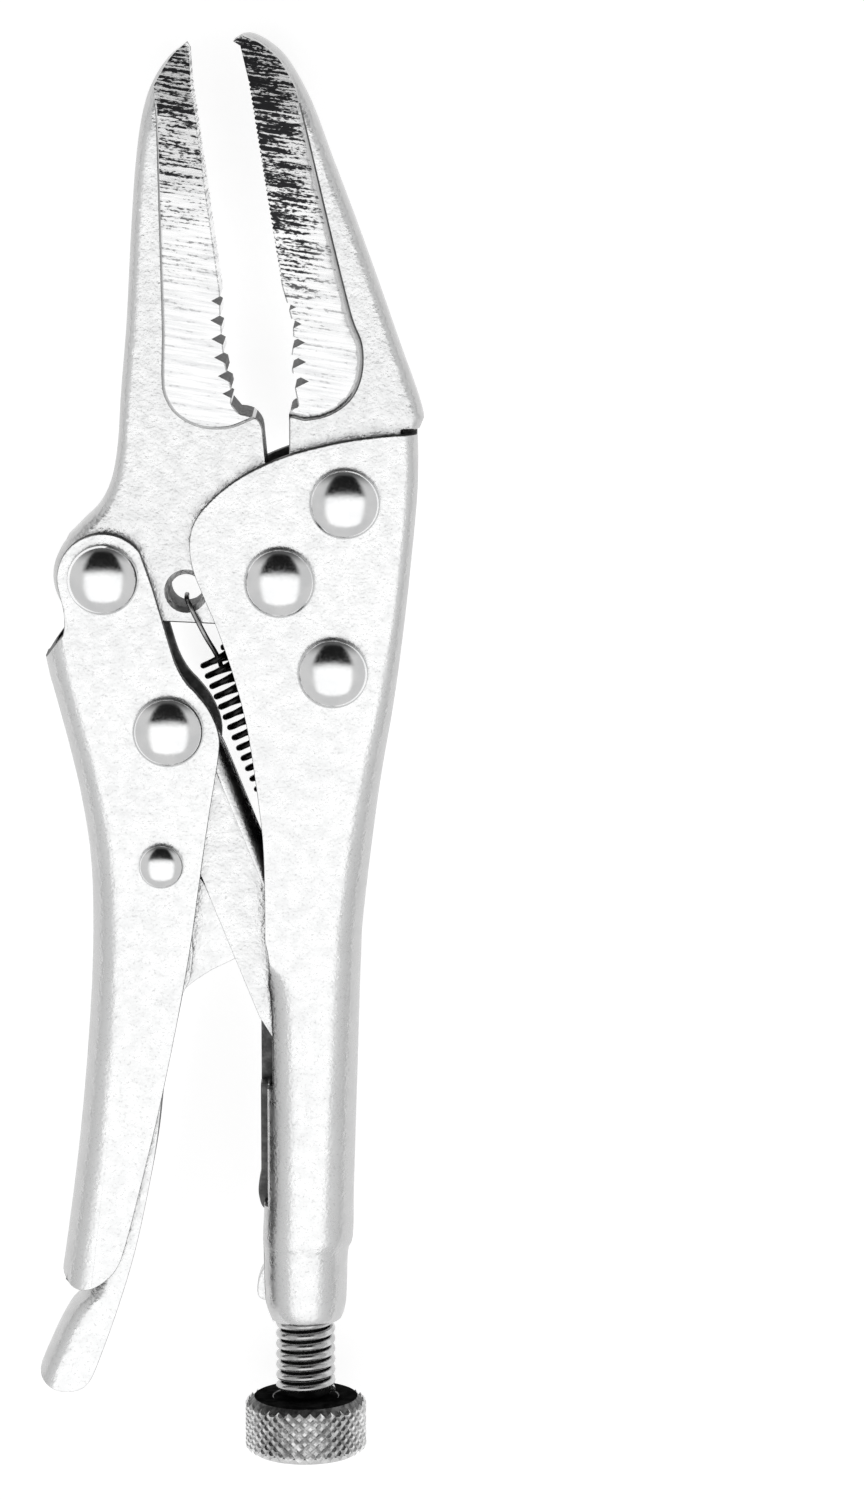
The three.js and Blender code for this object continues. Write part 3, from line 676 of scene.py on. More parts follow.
def makeLeverHandle(finishes, pivot, holes):
    spec = leverHandle
    rows = through(leverRows, 4)
    rings = [roundedRing(y, left, spec["right"], spec["half"], bent, spec["rightRound"])
             for y, left, bent in rows]
    inner = [roundedRing(y, left + spec["sheet"], 12, spec["half"] - spec["sheet"], bent - spec["sheet"],
                         spec["rightRound"])
             for y, left, bent in rows]
    inner[0] = [(x, y + 5, z) for x, y, z in inner[0]]
    inner[-1] = [(x, y - 5, z) for x, y, z in inner[-1]]
    channel = skinned(inner)
    outline = slab(leverOutline(pivot), -beyond, beyond)
    edges, inside = treeOf(outline), treeOf(channel)
    body = worked(skinned(rings), [("INTERSECT", outline), ("DIFFERENCE", channel),
                                   *(("DIFFERENCE", barAt(*hole)) for hole in holes)])
    body = eased(cleaned(body), spec["ease"])
    markSheet(body, [inside], edges)
    placed("lever_handle_sheet", shaded(body), "lever", "plated_steel", finishes["sheet"], "lever_handle")
    print("lever handle made")


# Toggle link: drawn along X from its pivot, then turned
toggleLink = {"half": 3.5, "sheet": 1.3, "front": -3.2, "back": 4.9, "eye": 3.9, "tip": 2.6,
              "round": 1.8, "ease": 0.12, "end": (2.55, -55.5)}


def makeToggleLink(finishes, pivot, hole):
    spec = toggleLink
    endX, endY = spec["end"]
    length = math.dist((endX, endY), pivot)
    angle = math.atan2(endY - pivot[1], endX - pivot[0])
    front, back, eye, tip = spec["front"], spec["back"], spec["eye"], spec["tip"]
    outline = slab(joined(
        [(0, -eye)], bend((0, -eye), (3, -eye), (6, front)),
        [(length - 6, front), (length - tip, -tip)], arc((length - tip, 0), tip, -0.5, 0.5),
        [(length - 9, back - 0.6), (length - 12, back), (6, back)],
        bend((6, back), (3, back), (0, eye)), arc((0, 0), eye, 0.5, 1.5)), -beyond, beyond)
    half, sheet, curl = spec["half"], spec["sheet"], spec["round"]

    def ring(x, top, level, radius):
        turns = [math.pi / 2 * k / 8 for k in range(9)]
        upper = [(x, top - radius + radius * math.cos(t), level - radius + radius * math.sin(t))
                 for t in turns]
        lower = [(x, y, -z) for x, y, z in reversed(upper)]
        return [*upper, *lower, (x, -12, -level), (x, -12, level)]

    outer = [ring(x, back, half, curl) for x in (-8, 0, length * 0.5, length + 3)]
    inner = [ring(x, top, half - sheet, 0.5) for x, top in
             ((-9, 3.2 - sheet), (6, back - sheet), (length - 9.5, back - sheet))]
    channel = skinned(inner)
    edges, inside = treeOf(outline), treeOf(channel)
    body = worked(skinned(outer), [("INTERSECT", outline), ("DIFFERENCE", channel)])
    turn = Matrix.Translation((pivot[0], pivot[1], 0)) @ Matrix.Rotation(angle, 4, "Z")
    body = worked(body, [("DIFFERENCE", moved(barAt(*hole), turn.inverted()))])
    body = eased(cleaned(body, flatten=False), spec["ease"])
    markSheet(body, [inside], edges)
    body.transform(turn)
    placed("toggle_link_sheet", shaded(body), "link", "plated_steel", finishes["sheet"], "toggle_link")
    print("toggle link made")


# Release lever: a folded tail with a finger end, and a thin nose
releaseLever = {"half": 3.5, "sheet": 1.2, "nose": 1.9, "right": 8, "rightRound": 0.3, "ease": 0.14}
releaseRows = [  # y, left, left bend
    (-28.0, -16.7, 1.6), (-34.0, -16.9, 1.8), (-38.0, -17.6, 2.2), (-44.0, -18.5, 2.6),
    (-53.2, -19.2, 2.8), (-64.0, -20.1, 2.8), (-72.9, -21.1, 2.8), (-80.0, -22.1, 2.8),
    (-83.4, -22.9, 2.8), (-85.4, -24.7, 2.8), (-87.6, -26.0, 2.8), (-90.4, -27.3, 2.8),
    (-93.0, -28.4, 2.8), (-97.0, -29.8, 2.8),
]


def makeReleaseLever(finishes, pivot, hole):
    spec = releaseLever
    outline = slab(joined(
        [(-10.9, -34.2)], arc(pivot, 3.0, -0.15, 0.95),
        through([(-16.66, -32.3), (-17.6, -38), (-18.5, -44), (-19.2, -53.2), (-20.1, -64), (-21.1, -72.9),
                 (-22.3, -81.4), (-22.8, -83.4)]),
        through([(-22.8, -83.4), (-24.4, -84.6), (-26.0, -87.6), (-27.3, -90.4), (-28.4, -93.0),
                 (-28.1, -94.5), (-26.4, -95.6), (-24.2, -95.6), (-22.6, -94.4), (-21.0, -90.6),
                 (-19.1, -85.2), (-17.3, -79.2), (-15.8, -72.6), (-14.5, -65.4), (-13.6, -57.0),
                 (-12.6, -50.5)]),
        [(-10.6, -46.6), (-10.2, -43.5)], spacing=0.25), -beyond, beyond)
    inner = spec["half"] - spec["sheet"]
    hollow = slab(joined(
        [(-5, -37.0), (-5, -89), (-24.6, -89)],
        through([(-24.6, -89), (-21.4, -80.5), (-20.0, -72.9), (-18.9, -64), (-18.0, -53.2), (-17.3, -44)]),
        [(-16.0, -37.0)]), -inner, inner)
    nose = slab(joined(
        [(-13, -36.0), (-10.4, -33.4), (-6.6, -39.0), (-4.4, -41.4)],
        bend((-4.4, -41.4), (-3.9, -42.4), (-4.2, -43.2)),
        bend((-4.2, -43.2), (-4.5, -44.1), (-5.4, -44.4)),
        [(-8.1, -45.7), (-10.1, -47.0), (-12.0, -48.6), (-19.0, -50.0), (-18.2, -40)]),
        -spec["nose"], spec["nose"])
    edges, inside, noseEdges = treeOf(outline), treeOf(hollow), treeOf(nose)
    body = worked(skinned([roundedRing(y, left, spec["right"], spec["half"], bent, spec["rightRound"])
                           for y, left, bent in through(releaseRows, 4)]),
                  [("INTERSECT", outline), ("DIFFERENCE", hollow), ("UNION", nose),
                   ("UNION", barAt(pivot, 3.0, inner + 0.2)), ("DIFFERENCE", barAt(*hole))])
    body = eased(cleaned(body), spec["ease"])
    # painted shade: the hollow's inside, and the edges except those facing -X, are painted darker
    markNear(body, inside, 1)
    markNear(body, edges, 2, where=lambda face: abs(face.normal.z) < 0.5 and face.normal.x > -0.2)
    markNear(body, noseEdges, 2, reach=0.06, where=lambda face: abs(face.normal.z) < 0.9)
    placed("release_lever_sheet", shaded(body), "release", "plated_steel",
           (finishes["nickel"], finishes["paintedShadeNickel"], finishes["edgeShadeNickel"]), "release_lever")
    print("release lever made")


# Jaws: forgings drawn as a height above the mid-plane
jaws = {"web": 3.6, "flankWidth": 1.3, "flankDrop": 1.7, "ease": 0.14, "step": 0.6,
        "groovePitch": 0.54, "grooveDepth": 0.17, "throatTop": 20, "gripBottom": 33, "stepTop": 54}
noseTaper = [(-40, 4.8), (30, 4.8), (44, 4.6), (53, 4.0), (63, 3.0)]  # y, the pad's half thickness


def distances(points, line):
    first, second = np.array(line[:-1]), np.array(line[1:])
    span = second - first
    share = np.einsum("nmk,mk->nm", points[:, None] - first[None], span)
    share = np.clip(share / np.maximum((span ** 2).sum(1), 1e-12), 0, 1)
    nearest = first[None] + share[..., None] * span[None]
    return np.sqrt(((points[:, None] - nearest) ** 2).sum(2)).min(1)


def isInside(points, loop):
    result = np.zeros(len(points), bool)
    for (ax, ay), (bx, by) in zip(loop, loop[1:] + loop[:1]):
        crosses = (ay > points[:, 1]) != (by > points[:, 1])
        where = ax + (points[:, 1] - ay) * (bx - ax) / ((by - ay) or 1e-12)
        result ^= crosses & (points[:, 0] < where)
    return result


def besideLine(line, offset, side):  # a row of points beside a line
    made = []
    for (ax, ay), (bx, by) in zip(line, line[1:]):
        length = math.dist((ax, ay), (bx, by)) or 1e-9
        made.append(((ax + bx) / 2 + (ay - by) / length * offset * side,
                     (ay + by) / 2 + (bx - ax) / length * offset * side))
    return made


def forging(outline, soft, border, width, padLoop, eyes):  # the pad rises over the border's width
    spec = jaws
    rises = [width * share for share in (0, 0.2, 0.56, 1.0)]
    outline = fineLine(outline + outline[:1], spec["step"])[:-1]
    ringsOfEyes = [[(c[0] + r * math.cos(k * math.pi / 20), c[1] + r * math.sin(k * math.pi / 20))
                    for k in range(40)] for c, r in eyes]
    allEdges = outline + outline[:1]
    softFine, borderFine = fineLine(soft, 0.5), fineLine(border, 0.4)
    rows = [(softFine, spec["flankWidth"] * t) for t in (0.04, 0.14, 0.32, 0.6, 1.0)]
    rows += [(borderFine, offset) for offset in (0.01, *rises[1:])]
    rows += [(allEdges, spec["ease"])]
    points = [Vector(p) for p in outline]
    edges = [(k, (k + 1) % len(outline)) for k in range(len(outline))]
    for ring in ringsOfEyes:
        start = len(points)
        points += [Vector(p) for p in ring]
        edges += [(start + k, start + (k + 1) % len(ring)) for k in range(len(ring))]

    def free(places, edgeGap):
        clear = isInside(places, outline) & (distances(places, allEdges) > edgeGap)
        for (x, y), radius in eyes:
            clear &= np.hypot(places[:, 0] - x, places[:, 1] - y) > radius + 0.1
        return clear

    for line, offset in rows:
        for side in (1, -1):
            places = np.array(besideLine(line, offset, side))
            good = free(places, 0.04) & (distances(places, line) > offset * 0.95)
            before = None
            for here, use in zip(places, good):
                if use and (before is None or math.dist(points[before], here) > 0.05):
                    points.append(Vector(here))
                    if before is not None and math.dist(points[before], here) < 1.2:
                        edges.append((before, len(points) - 1))
                    before = len(points) - 1
                elif not use:
                    before = None
    low, high = np.array(outline).min(0), np.array(outline).max(0)
    grid = np.array([(x, y) for x in np.arange(low[0], high[0], 1.7)
                     for y in np.arange(low[1], high[1], 1.7)])
    points += [Vector(p) for p in grid[free(grid, 0.4)]]
    for centre, radius in eyes:
        for grow in (0.25, 0.6):
            ring = np.array(arc(centre, radius + grow, 0, 2, 40)[:-1])
            points += [Vector(p) for p in ring[free(ring, 0.1)]]
    found = delaunay_2d_cdt(points, edges, [list(range(len(outline)))], 1, 1e-4)
    flat = np.array([(p.x, p.y) for p in found[0]])
    faces = list(found[2])
    centres = np.array([flat[list(f)].mean(0) for f in faces])
    keep = isInside(centres, outline)
    for centre, radius in eyes:
        keep &= np.hypot(centres[:, 0] - centre[0], centres[:, 1] - centre[1]) > radius
    faces = [f for f, good in zip(faces, keep) if good]

    ends, levels = zip(*noseTaper)
    padLevel = np.interp(flat[:, 1], ends, levels)
    web = np.minimum(spec["web"], padLevel - 0.55)
    away = np.clip(distances(flat, softFine) / spec["flankWidth"], 0, 1)
    height = web - spec["flankDrop"] * (1 - np.sqrt(np.clip(1 - (1 - away) ** 2, 0, 1)))
    within = distances(flat, borderFine) * isInside(flat, padLoop)
    steeper = np.interp(flat[:, 1], (48, 55), (1.0, 5.0))
    rise = np.interp(within * steeper, rises, (0, 0.45, 0.82, 1.0))
    height = height + (padLevel - height) * rise
    sharp = np.clip(distances(flat, allEdges) / spec["ease"], 0, 1)
    height -= 0.13 * (1 - sharp) * (away > 0.5)
    for (centre, radius), chamfer in zip(eyes, (0.1, 0.1, 0.45)):
        ring = np.hypot(flat[:, 0] - centre[0], flat[:, 1] - centre[1]) - radius
        height -= chamfer * np.clip(1 - ring / 0.6, 0, 1)

    count = len(flat)
    points = [(x, y, z) for (x, y), z in zip(flat, height)]
    points += [(x, y, -z) for (x, y), z in zip(flat, height)]
    solid = [tuple(f) for f in faces] + [tuple(k + count for k in reversed(f)) for f in faces]
    sides = dict.fromkeys(side for f in faces for side in zip(f, [*f[1:], f[0]]))
    for a, b in sides:
        if (b, a) not in sides:
            solid.append((b, a, a + count, b + count))
    work = bmesh.new()
    mesh = bpy.data.meshes.new("forging")
    mesh.from_pydata(points, [], solid)
    work.from_mesh(mesh)
    bmesh.ops.delete(work, geom=[v for v in work.verts if not v.link_faces], context="VERTS")
    bmesh.ops.recalc_face_normals(work, faces=work.faces)
    work.to_mesh(mesh)
    work.free()
    return mesh


def zigzag(tips, side):  # a cutter with one point for each tooth gap
    high, low = tips[0][1][1] + 0.01, tips[-1][1][1] - 0.01
    far = side * 6
    outline = []
    for before, apex, after in tips:
        outline += [before, apex, after]
    outX = max(p[0] * side for p in outline) * side + far
    return slab(joined(outline, [(outX, low), (outX, high)], spacing=0.01), -9, 9)


def gulletCutter(gullets, side):
    return zigzag([((x + side * reach, y + width / 2), (x, y), (x + side * reach, y - width / 2))
                   for x, y, width, reach in gullets], side)


def grooveCutter(start, end, side):  # fine grooves down a straight gripping edge
    spec = jaws
    length = math.dist(start, end)
    count = int(length / spec["groovePitch"])
    stepX, stepY = (end[0] - start[0]) / length, (end[1] - start[1]) / length
    outX = abs(stepY) * side
    outY = -stepX * side * (1 if stepY > 0 else -1)
    tips = []
    for k in range(count):
        base = [spec["groovePitch"] * (k + share) for share in (0.08, 0.5, 0.92)]
        depth = [0.05, -spec["grooveDepth"], 0.05]
        tips.append([(start[0] + stepX * b + outX * d, start[1] + stepY * b + outY * d)
                     for b, d in zip(base, depth)])
    return zigzag(tips, side)


def makeJaw(jaw, finishes):
    soft, border, width, padLoop = jaw["soft"], jaw["border"], jaw["width"], jaw["padLoop"]
    mesh = forging(jaw["outline"], soft, border, width, padLoop, jaw["eyes"])
    mesh = worked(mesh, [("DIFFERENCE", cutter) for cutter in jaw["cutters"]])
    mesh = cleaned(mesh, 0.004, flatten=False)
    centres = np.array([face.center[:2] for face in mesh.polygons])
    within = distances(centres, fineLine(border, 1.0)) * isInside(centres, padLoop)
    away = distances(centres, fineLine(soft, 1.0))
    # painted shade: throat walls and walls facing +Y take the dark edge finish, and a thin band at the
    # pad's step takes the dark inside finish; the grooves and the pad are ground steel
    for face, padded, flank in zip(mesh.polygons, within, away):
        onStep = 0 < padded < width * 1.1
        wall = abs(face.normal.z) < 0.4 and flank > 0.4 and not onStep
        height = face.center.y
        if wall and height > jaws["gripBottom"]:
            face.material_index = 1
        elif wall and (height < jaws["throatTop"] or face.normal.y > 0.15):
            face.material_index = 2
        elif 0 < padded < width * 0.2 and height < jaws["stepTop"]:
            face.material_index = 3
        elif padded > width * (0.7 if height < jaws["stepTop"] else 0.2):
            face.material_index = 1
    chosen = [finishes[part] for part in ("jawNickel", jaw["ground"], "cutEdgeAndShade", "paintedShadeNickel")]
    placed(jaw["name"], shaded(mesh, 34), jaw["body"], "forged_steel", chosen, jaw["node"])
    print(jaw["name"], "made")


def makeMovingJaw(finishes, lever, springEye, eyeRadius):
    mouth = [(-6.6, 33.0), (-9.8, 56.6), (-10.0, 60.0)]
    back = through([(-10.4, 60.6), (-12.4, 59.0), (-14.2, 56.2), (-15.3, 52.8), (-16.1, 47.4),
                    (-16.7, 39.5), (-17.3, 29.3), (-18.0, 21.3), (-18.4, 15.6), (-19.1, 11.6),
                    (-20.5, 8.5), (-22.4, 6.5), (-24.3, 4.6)])
    throat = through([(-5.4, 20.2), (-5.4, 22.0), (-6.1, 25.2), (-6.5, 29.7), (-6.6, 33.0)])
    outline = joined(back, arc(lever, 5.8, 0.76, 1.5), [(-13.6, -4.8), (-5.0, -5.2)],
                     arc((0, 0), 5.4, 1.45, 2.4), [(-1.4, 12.0), (-1.9, 17.2)],
                     bend((-1.9, 17.2), (-2.2, 19.0), (-4.5, 19.1)), throat, mouth, spacing=0.15)
    border = joined(through([(-10.2, 61.2), (-12.3, 58.9), (-14.0, 56.0)]),
                    [(-13.7, 52.0), (-13.2, 28.0)],
                    through([(-13.2, 28.0), (-13.3, 22.9), (-12.9, 20.7), (-11.5, 18.7), (-8.9, 17.4),
                             (-5.8, 17.3), (-3.3, 18.2), (-1.0, 19.2)]))
    gullets = [(-7.6, 31.9, 1.7, 1.6), (-7.7, 29.7, 1.8, 1.7), (-7.6, 27.6, 1.9, 1.8),
               (-7.3, 25.5, 2.0, 1.9), (-6.9, 23.4, 2.0, 1.9), (-6.4, 21.4, 1.8, 1.8)]
    makeJaw({"name": "moving_jaw_forging", "body": "jaw", "node": "moving_jaw", "ground": "movingGround",
             "outline": outline, "soft": joined([(-9.6, 61.2)], back, arc(lever, 5.8, 0.76, 1.3)),
             "border": border, "width": 0.45, "padLoop": border + [(12, 19.2), (12, 61.2)],
             "eyes": [((0, 0), eyeRadius), (lever, eyeRadius), (springEye, 1.9)],
             "cutters": [gulletCutter(gullets, 1), grooveCutter((-9.8, 56.6), (-6.6, 33.2), 1)]}, finishes)


def makeFixedJaw(finishes, upper, lower, eyeRadius):
    back = through([(-5.0, 60.9), (-3.5, 61.7), (-1.6, 61.1), (0.7, 59.2), (2.6, 56.2), (4.1, 53.0),
                    (6.0, 47.8), (8.6, 40.9), (11.3, 33.4), (13.8, 26.2), (15.6, 21.2), (16.4, 18.4)])
    mouth = through([(2.2, 20.0), (1.7, 22.6), (1.4, 25.2), (1.6, 27.2), (1.5, 29.5), (0.4, 33.5)])
    outline = joined(back, [(15.9, 17.2), (13.7, 17.1), (13.7, 9), (13.0, 1.8), (11.9, -6.3)],
                     [(10.6, -14.4)], bend((10.6, -14.4), (10.0, -16.6), (7.5, -16.6)), [(4.4, -16.4)],
                     bend((4.4, -16.4), (1.6, -16.0), (1.6, -12.5)), [(2.0, -5.9)],
                     arc((0, 0), 6.2, -0.4, 0.36), [(1.7, 8.5), (1.1, 11.0), (1.1, 18.9)],
                     bend((1.1, 18.9), (1.2, 19.8), (2.2, 20.0)), mouth, [(-3.3, 56.6), (-4.2, 60.4)],
                     spacing=0.15)
    border = joined(through([(-4.6, 61.9), (-3.0, 61.3), (-1.6, 60.6), (0.4, 58.8), (2.1, 55.8)]),
                    [(3.5, 50.0), (6.1, 38.8)],
                    through([(6.1, 38.8), (8.2, 30.3), (9.4, 27.0), (9.5, 24.0), (8.8, 21.6), (7.5, 19.9),
                             (5.5, 18.7), (3.2, 18.2), (1.9, 18.4), (0.4, 18.8)]))
    gullets = [(2.0, 31.2, 1.5, 1.6), (2.6, 29.3, 1.8, 1.7), (3.0, 27.2, 1.9, 1.9), (3.1, 25.0, 2.0, 2.0),
               (3.4, 22.8, 2.0, 2.0)]
    makeJaw({"name": "fixed_jaw_forging", "body": "frame", "node": "fixed_jaw", "ground": "fixedGround",
             "outline": outline, "soft": joined(back, [(15.9, 17.2)]),
             "border": border, "width": 0.85, "padLoop": border + [(-15, 18.8), (-15, 61.9)],
             "eyes": [(upper, eyeRadius), (lower, eyeRadius)],
             "cutters": [gulletCutter(gullets, -1), grooveCutter((-3.3, 56.6), (0.4, 33.8), -1)]}, finishes)


# Rivets: one headed half, turned over for the far side
rivets = {"gap": 0.3, "rim": 0.28, "shaft": 2.6, "head": 4.05, "height": 2.0,
          "smallShaft": 1.4, "smallHead": 2.55, "smallHeight": 1.3}


def makeRivetTree(finish):
    tree, given = newTree("rivetBothSides", ("Across", "Along"))
    turnedOver = addNode(tree, "GeometryNodeTransform",
                         {"Geometry": given["Geometry"], "Rotation": (math.pi, 0, 0)})
    both = addNode(tree, "GeometryNodeJoinGeometry")
    tree.links.new(given["Geometry"], both.inputs[0])
    tree.links.new(turnedOver.outputs[0], both.inputs[0])
    welded = addNode(tree, "GeometryNodeMergeByDistance",
                     {"Geometry": both.outputs[0], "Distance": 0.001})
    place = addNode(tree, "ShaderNodeCombineXYZ", {"X": given["Across"], "Y": given["Along"]})
    put = addNode(tree, "GeometryNodeTransform",
                  {"Geometry": welded.outputs[0], "Translation": place.outputs[0]})
    closeTree(tree, put.outputs[0], finish)
    return tree


def rivetHalf(shaft, head, height, face, sides=64):  # open at the mid-plane, where the halves meet
    under = face + rivets["gap"]
    rim = rivets["rim"]
    profile = [(shaft, 0), (shaft, under), (head - 0.12, under), (head, under + 0.1), (head, under + rim)]
    profile += [(head * math.cos(t), under + rim + (height - rim) * math.sin(t))
                for t in (math.pi / 2 * k / 12 for k in range(1, 12))]
    points = [(r * math.cos(2 * math.pi * k / sides), r * math.sin(2 * math.pi * k / sides), h)
              for r, h in profile for k in range(sides)]
    points.append((0, 0, under + height))
    faces = []
    for row in range(len(profile) - 1):
        for k in range(sides):
            a, b = row * sides + k, row * sides + (k + 1) % sides
            faces.append((a, b, b + sides, a + sides))
    last = (len(profile) - 1) * sides
    faces += [(last + k, last + (k + 1) % sides, len(points) - 1) for k in range(sides)]
    mesh = bpy.data.meshes.new("rivetHalf")
    mesh.from_pydata(points, [], faces)
    return mesh


def makeRivets(finishes):
    tree = makeRivetTree(finishes["rivet"])
    frameFace, leverFace = frameHandle["half"], leverHandle["half"]
    large = (rivets["shaft"], rivets["head"], rivets["height"])
    small = (rivets["smallShaft"], rivets["smallHead"], rivets["smallHeight"])
    places = [("upper_jaw_rivet", "frame", large, frameFace),
              ("lower_jaw_rivet", "frame", large, frameFace),
              ("jaw_pivot_rivet", "jaw_pivot", large, frameFace),
              ("lever_pivot_rivet", "lever_pivot", large, leverFace),
              ("link_pivot_rivet", "lever", large, leverFace),
              ("release_pivot_rivet", "lever", small, leverFace)]
    for node, body, sizes, face in places:
        centre = middleOf(node)
        mesh = grown(tree, {"Across": centre.x, "Along": centre.y}, rivetHalf(*sizes, face))
        placed(node + "_steel", smoothed(mesh, 50), body, "rivet_steel", (finishes["rivet"],), node)
    print("rivets made")


# A helix about Z, for the thread and for the spring
def makeHelixTree(name, finish):
    tree, given = newTree(name, ("Radius", "Pitch", "Turns", "Steps per turn", "Section radius"),
                          ("Section sides",))
    count = product(tree, given["Turns"], given["Steps per turn"])
    line = addNode(tree, "GeometryNodeCurvePrimitiveLine")
    fine = addNode(tree, "GeometryNodeResampleCurve", {"Curve": line.outputs[0], "Count": count})
    index = addNode(tree, "GeometryNodeInputIndex").outputs[0]
    turn = sums(tree, "DIVIDE", index, given["Steps per turn"])
    angle = product(tree, turn, 2 * math.pi)
    place = onCircle(tree, angle, given["Radius"], product(tree, turn, given["Pitch"]))
    wound = addNode(tree, "GeometryNodeSetPosition", {"Geometry": fine.outputs[0], "Position": place})
    upright = addNode(tree, "GeometryNodeSetCurveNormal", {"Curve": wound.outputs[0]}, mode="Z_UP")
    section = addNode(tree, "GeometryNodeCurvePrimitiveCircle",
                      {"Resolution": given["Section sides"], "Radius": given["Section radius"]})
    swept = addNode(tree, "GeometryNodeCurveToMesh",
                    {"Curve": upright.outputs[0], "Profile Curve": section.outputs[0], "Fill Caps": True})
    closeTree(tree, swept.outputs[0], finish)
    return tree


# Adjusting screw, its nose and the knob
screw = {"major": 3.5, "depth": 0.62, "pitch": 1.25, "top": -62.0, "bottom": -96.9, "sides": 48}
knob = {"radius": 7.1, "top": -97.1, "bottom": -103.7, "chamfer": 0.75, "around": 34, "rows": 9,
        "point": 0.3}


def makeScrew(finishes):
    axis = middleOf("knurled_knob").x
    root = screw["major"] - screw["depth"]
    helix = grown(makeHelixTree("screwThreadHelix", finishes["thread"]), {
        "Radius": root + 0.12, "Pitch": screw["pitch"],
        "Turns": (screw["top"] - screw["bottom"] - 2.2) / screw["pitch"], "Steps per turn": 36.0,
        "Section radius": screw["depth"] - 0.12, "Section sides": 10})
    helix.transform(Matrix.Translation((0, 0, screw["bottom"] + 0.5)))
    # painted shade: the core between the thread's turns is near-black, much darker than the thread
    core = turned([(0, screw["bottom"]), (root - 0.4, screw["bottom"]), (root, screw["bottom"] + 0.4),
                   (root, screw["top"] - 0.5), (root - 0.4, screw["top"]), (0, screw["top"])],
                  screw["sides"])
    whole = smoothed(moved(combined(shaded(painted(core, 1)), helix), alongY(axis)), 60)
    placed("adjusting_screw_thread", whole, "screw", "screw_steel",
           (finishes["thread"], finishes["root"]), "adjusting_screw")
    low, high = ((corner.y - home.y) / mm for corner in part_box("screw_nose"))
    nose = turned([(0, low), (2.35, low), (2.6, low + 0.25), (2.6, high - 1.2), (1.9, high - 0.35),
                   (1.3, high - 0.06), (0, high)], screw["sides"])
    placed("screw_nose_point", shaded(moved(nose, alongY(axis))), "screw_slide", "screw_steel",
           (finishes["root"],), "screw_nose")
    print("screw made")


def makeKnurlTree(finish):
    tree, given = newTree("diamondKnurl", ("Radius", "Bottom", "Row height", "Point width", "Point height"),
                          ("Around", "Rows"))
    total = product(tree, given["Around"], given["Rows"])
    dots = addNode(tree, "GeometryNodePoints", {"Count": total})
    index = addNode(tree, "GeometryNodeInputIndex").outputs[0]
    row = sums(tree, "FLOOR", sums(tree, "DIVIDE", index, given["Around"]))
    stagger = product(tree, sums(tree, "MODULO", row, 2.0), 0.5)
    angle = product(tree, sums(tree, "DIVIDE", sums(tree, "ADD", index, stagger),
                                        given["Around"]), 2 * math.pi)
    place = onCircle(tree, angle, given["Radius"],
                     sums(tree, "ADD", given["Bottom"], product(tree, row, given["Row height"])))
    spread = addNode(tree, "GeometryNodeSetPosition", {"Geometry": dots.outputs[0], "Position": place})
    facing = addNode(tree, "FunctionNodeAlignRotationToVector",
                     {"Vector": onCircle(tree, angle, 1.0, 0.0)}, axis="Z")
    upright = addNode(tree, "FunctionNodeAlignRotationToVector",
                      {"Rotation": facing.outputs[0], "Vector": (0, 0, 1)}, axis="X", pivot_axis="Z")
    point = addNode(tree, "GeometryNodeMeshCone", {
        "Vertices": 4, "Radius Top": product(tree, given["Point width"], 0.42),
        "Radius Bottom": given["Point width"], "Depth": given["Point height"]})
    shown = addNode(tree, "GeometryNodeInstanceOnPoints",
                    {"Points": spread.outputs[0], "Instance": point.outputs[0],
                     "Rotation": upright.outputs[0]})
    closeTree(tree, shown.outputs[0], finish)
    return tree


def makeKnob(finishes):
    axis = middleOf("knurled_knob").x
    top, bottom, chamfer = knob["top"], knob["bottom"], knob["chamfer"]
    root = knob["radius"] - knob["point"]
    body = turned([(0, bottom), (1.6, bottom), (1.7, bottom + 0.1), (root - chamfer, bottom + 0.1),
                   (root - chamfer, bottom), (root - chamfer + 0.1, bottom), (root, bottom + chamfer),
                   (root, top - chamfer), (root - chamfer, top), (3.9, top), (3.8, top - 0.1),
                   (0, top - 0.1)], 96)
    # painted shade: the face toward the screw is painted near-black; the far end and its chamfer take the
    # thread's lighter finish
    for face in body.polygons:
        if face.normal.z > 0.9:
            face.material_index = 2
        elif face.normal.z < -0.2:
            face.material_index = 3
    width = 2 * math.pi * root / knob["around"] / 2
    rowHeight = (top - bottom - 2 * chamfer + 0.2) / knob["rows"]
    # painted highlight: the knurl's points take a lighter finish than the grooves
    points = grown(makeKnurlTree(finishes["knobPointPaintedHighlight"]), {
        "Around": knob["around"], "Rows": knob["rows"], "Radius": root - 0.02,
        "Bottom": bottom + chamfer - 0.1 + rowHeight / 2, "Row height": rowHeight,
        "Point width": width * 1.02, "Point height": knob["point"]})
    whole = smoothed(moved(combined(shaded(body, 30), painted(points, 1)), alongY(axis)), 24)
    placed("knurled_knob_body", whole, "screw", "knob_steel",
           (finishes["knobGroovePaintedShade"], finishes["knobPointPaintedHighlight"], finishes["root"], finishes["thread"]),
           "knurled_knob")
    print("knob made")


# Spring: the coil with its eye on the frame's tab, and the hook in the moving jaw
spring = {"wire": 0.72, "outer": 2.2, "pitch": 1.3, "top": (-7.9, -8.2), "end": (1.2, -29.8), "keep": 0.957}


def wireAlong(points, radius, sides=14):
    line = [Vector(p) for p in through(points, 8)]
    rings = []
    side = (line[1] - line[0]).orthogonal().normalized()
    for k, here in enumerate(line):
        ahead = (line[min(k + 1, len(line) - 1)] - line[max(k - 1, 0)]).normalized()
        side = (side - ahead * side.dot(ahead)).normalized()
        other = ahead.cross(side)
        rings.append([here + radius * (side * math.cos(2 * math.pi * s / sides)
                                       + other * math.sin(2 * math.pi * s / sides)) for s in range(sides)])
    return skinned(rings)


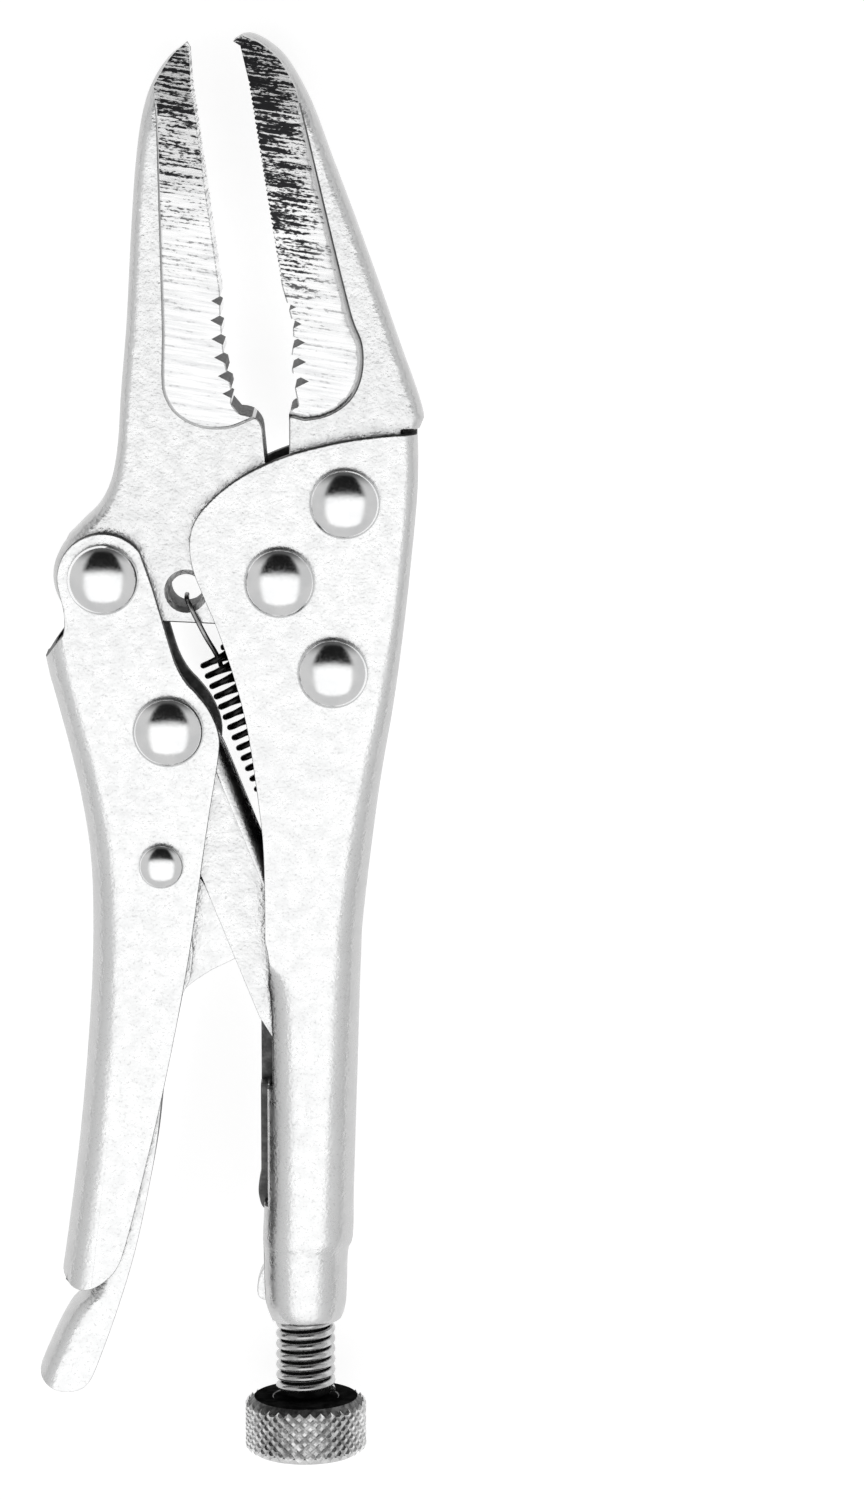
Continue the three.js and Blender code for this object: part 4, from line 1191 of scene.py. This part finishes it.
def makeSpring(finishes):
    top, end = Vector((*spring["top"], 0)), Vector((*spring["end"], 0))
    length = (top - end).length
    radius = spring["outer"] - spring["wire"] / 2
    coil = grown(makeHelixTree("springCoilHelix", finishes["spring"]), {
        "Radius": radius, "Pitch": spring["pitch"], "Turns": (length - spring["wire"]) / spring["pitch"],
        "Steps per turn": 26.0, "Section radius": spring["wire"] / 2, "Section sides": 10})
    aim = (top - end).to_track_quat("Z", "X").to_matrix().to_4x4()
    coil.transform(Matrix.Translation(end) @ aim)
    rest = [v.co.copy() for v in coil.vertices]
    start = min(rest, key=lambda p: (p - end).dot(top - end))
    above = jaws["web"] + 0.3 + spring["wire"] / 2
    thin = spring["wire"] * 0.4
    eye = wireAlong([(start.x, start.y, start.z), (1.7, -30.9, 1.8), (2.5, -32.0, 2.9), (2.8, -33.4, 3.0),
                     (2.8, -34.9, 2.6), (2.8, -35.4, 1.2)], thin)
    hook = wireAlong([(-6.9, -10.4, 0.4), (-7.1, -9.5, 1.5), (-7.6, -8.2, 2.9), (-8.5, -6.4, above - 0.1),
                      (-9.7, -4.0, above), (-10.2, -3.0, above - 0.1), (-10.6, -2.3, 3.4),
                      (-10.7, -2.0, 1.2)], thin)
    coil = combined(coil, eye)
    wound = placed("spring_coil", smoothed(coil, 60), "frame", "spring_steel", (finishes["spring"],),
                   "tension_spring")
    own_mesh(wound)
    placed("spring_hook", smoothed(hook, 60), "jaw", "spring_steel", (finishes["hookWire"],),
           "tension_spring")
    print("spring made")


# The whole tool
makeCamera()
makeStudio()
makeFloor()
finishes = makeFinishes()
leverAt, linkAt, releaseAt, upperAt, lowerAt = (
    tuple(middleOf(place + "_rivet").xy)
    for place in ("lever_pivot", "link_pivot", "release_pivot", "upper_jaw", "lower_jaw"))
largeHole = rivets["shaft"] + rivets["gap"]
smallHole = rivets["smallShaft"] + rivets["gap"]
makeFrameHandle(finishes, [((0, 0), largeHole), (upperAt, largeHole), (lowerAt, largeHole)])
makeLeverHandle(finishes, leverAt, [(leverAt, largeHole), (linkAt, largeHole), (releaseAt, smallHole)])
makeToggleLink(finishes, linkAt, (linkAt, largeHole))
makeReleaseLever(finishes, releaseAt, (releaseAt, smallHole))
makeMovingJaw(finishes, leverAt, (-10.7, -1.3), largeHole)
makeFixedJaw(finishes, upperAt, lowerAt, largeHole)
makeRivets(finishes)
makeScrew(finishes)
makeKnob(finishes)
makeSpring(finishes)
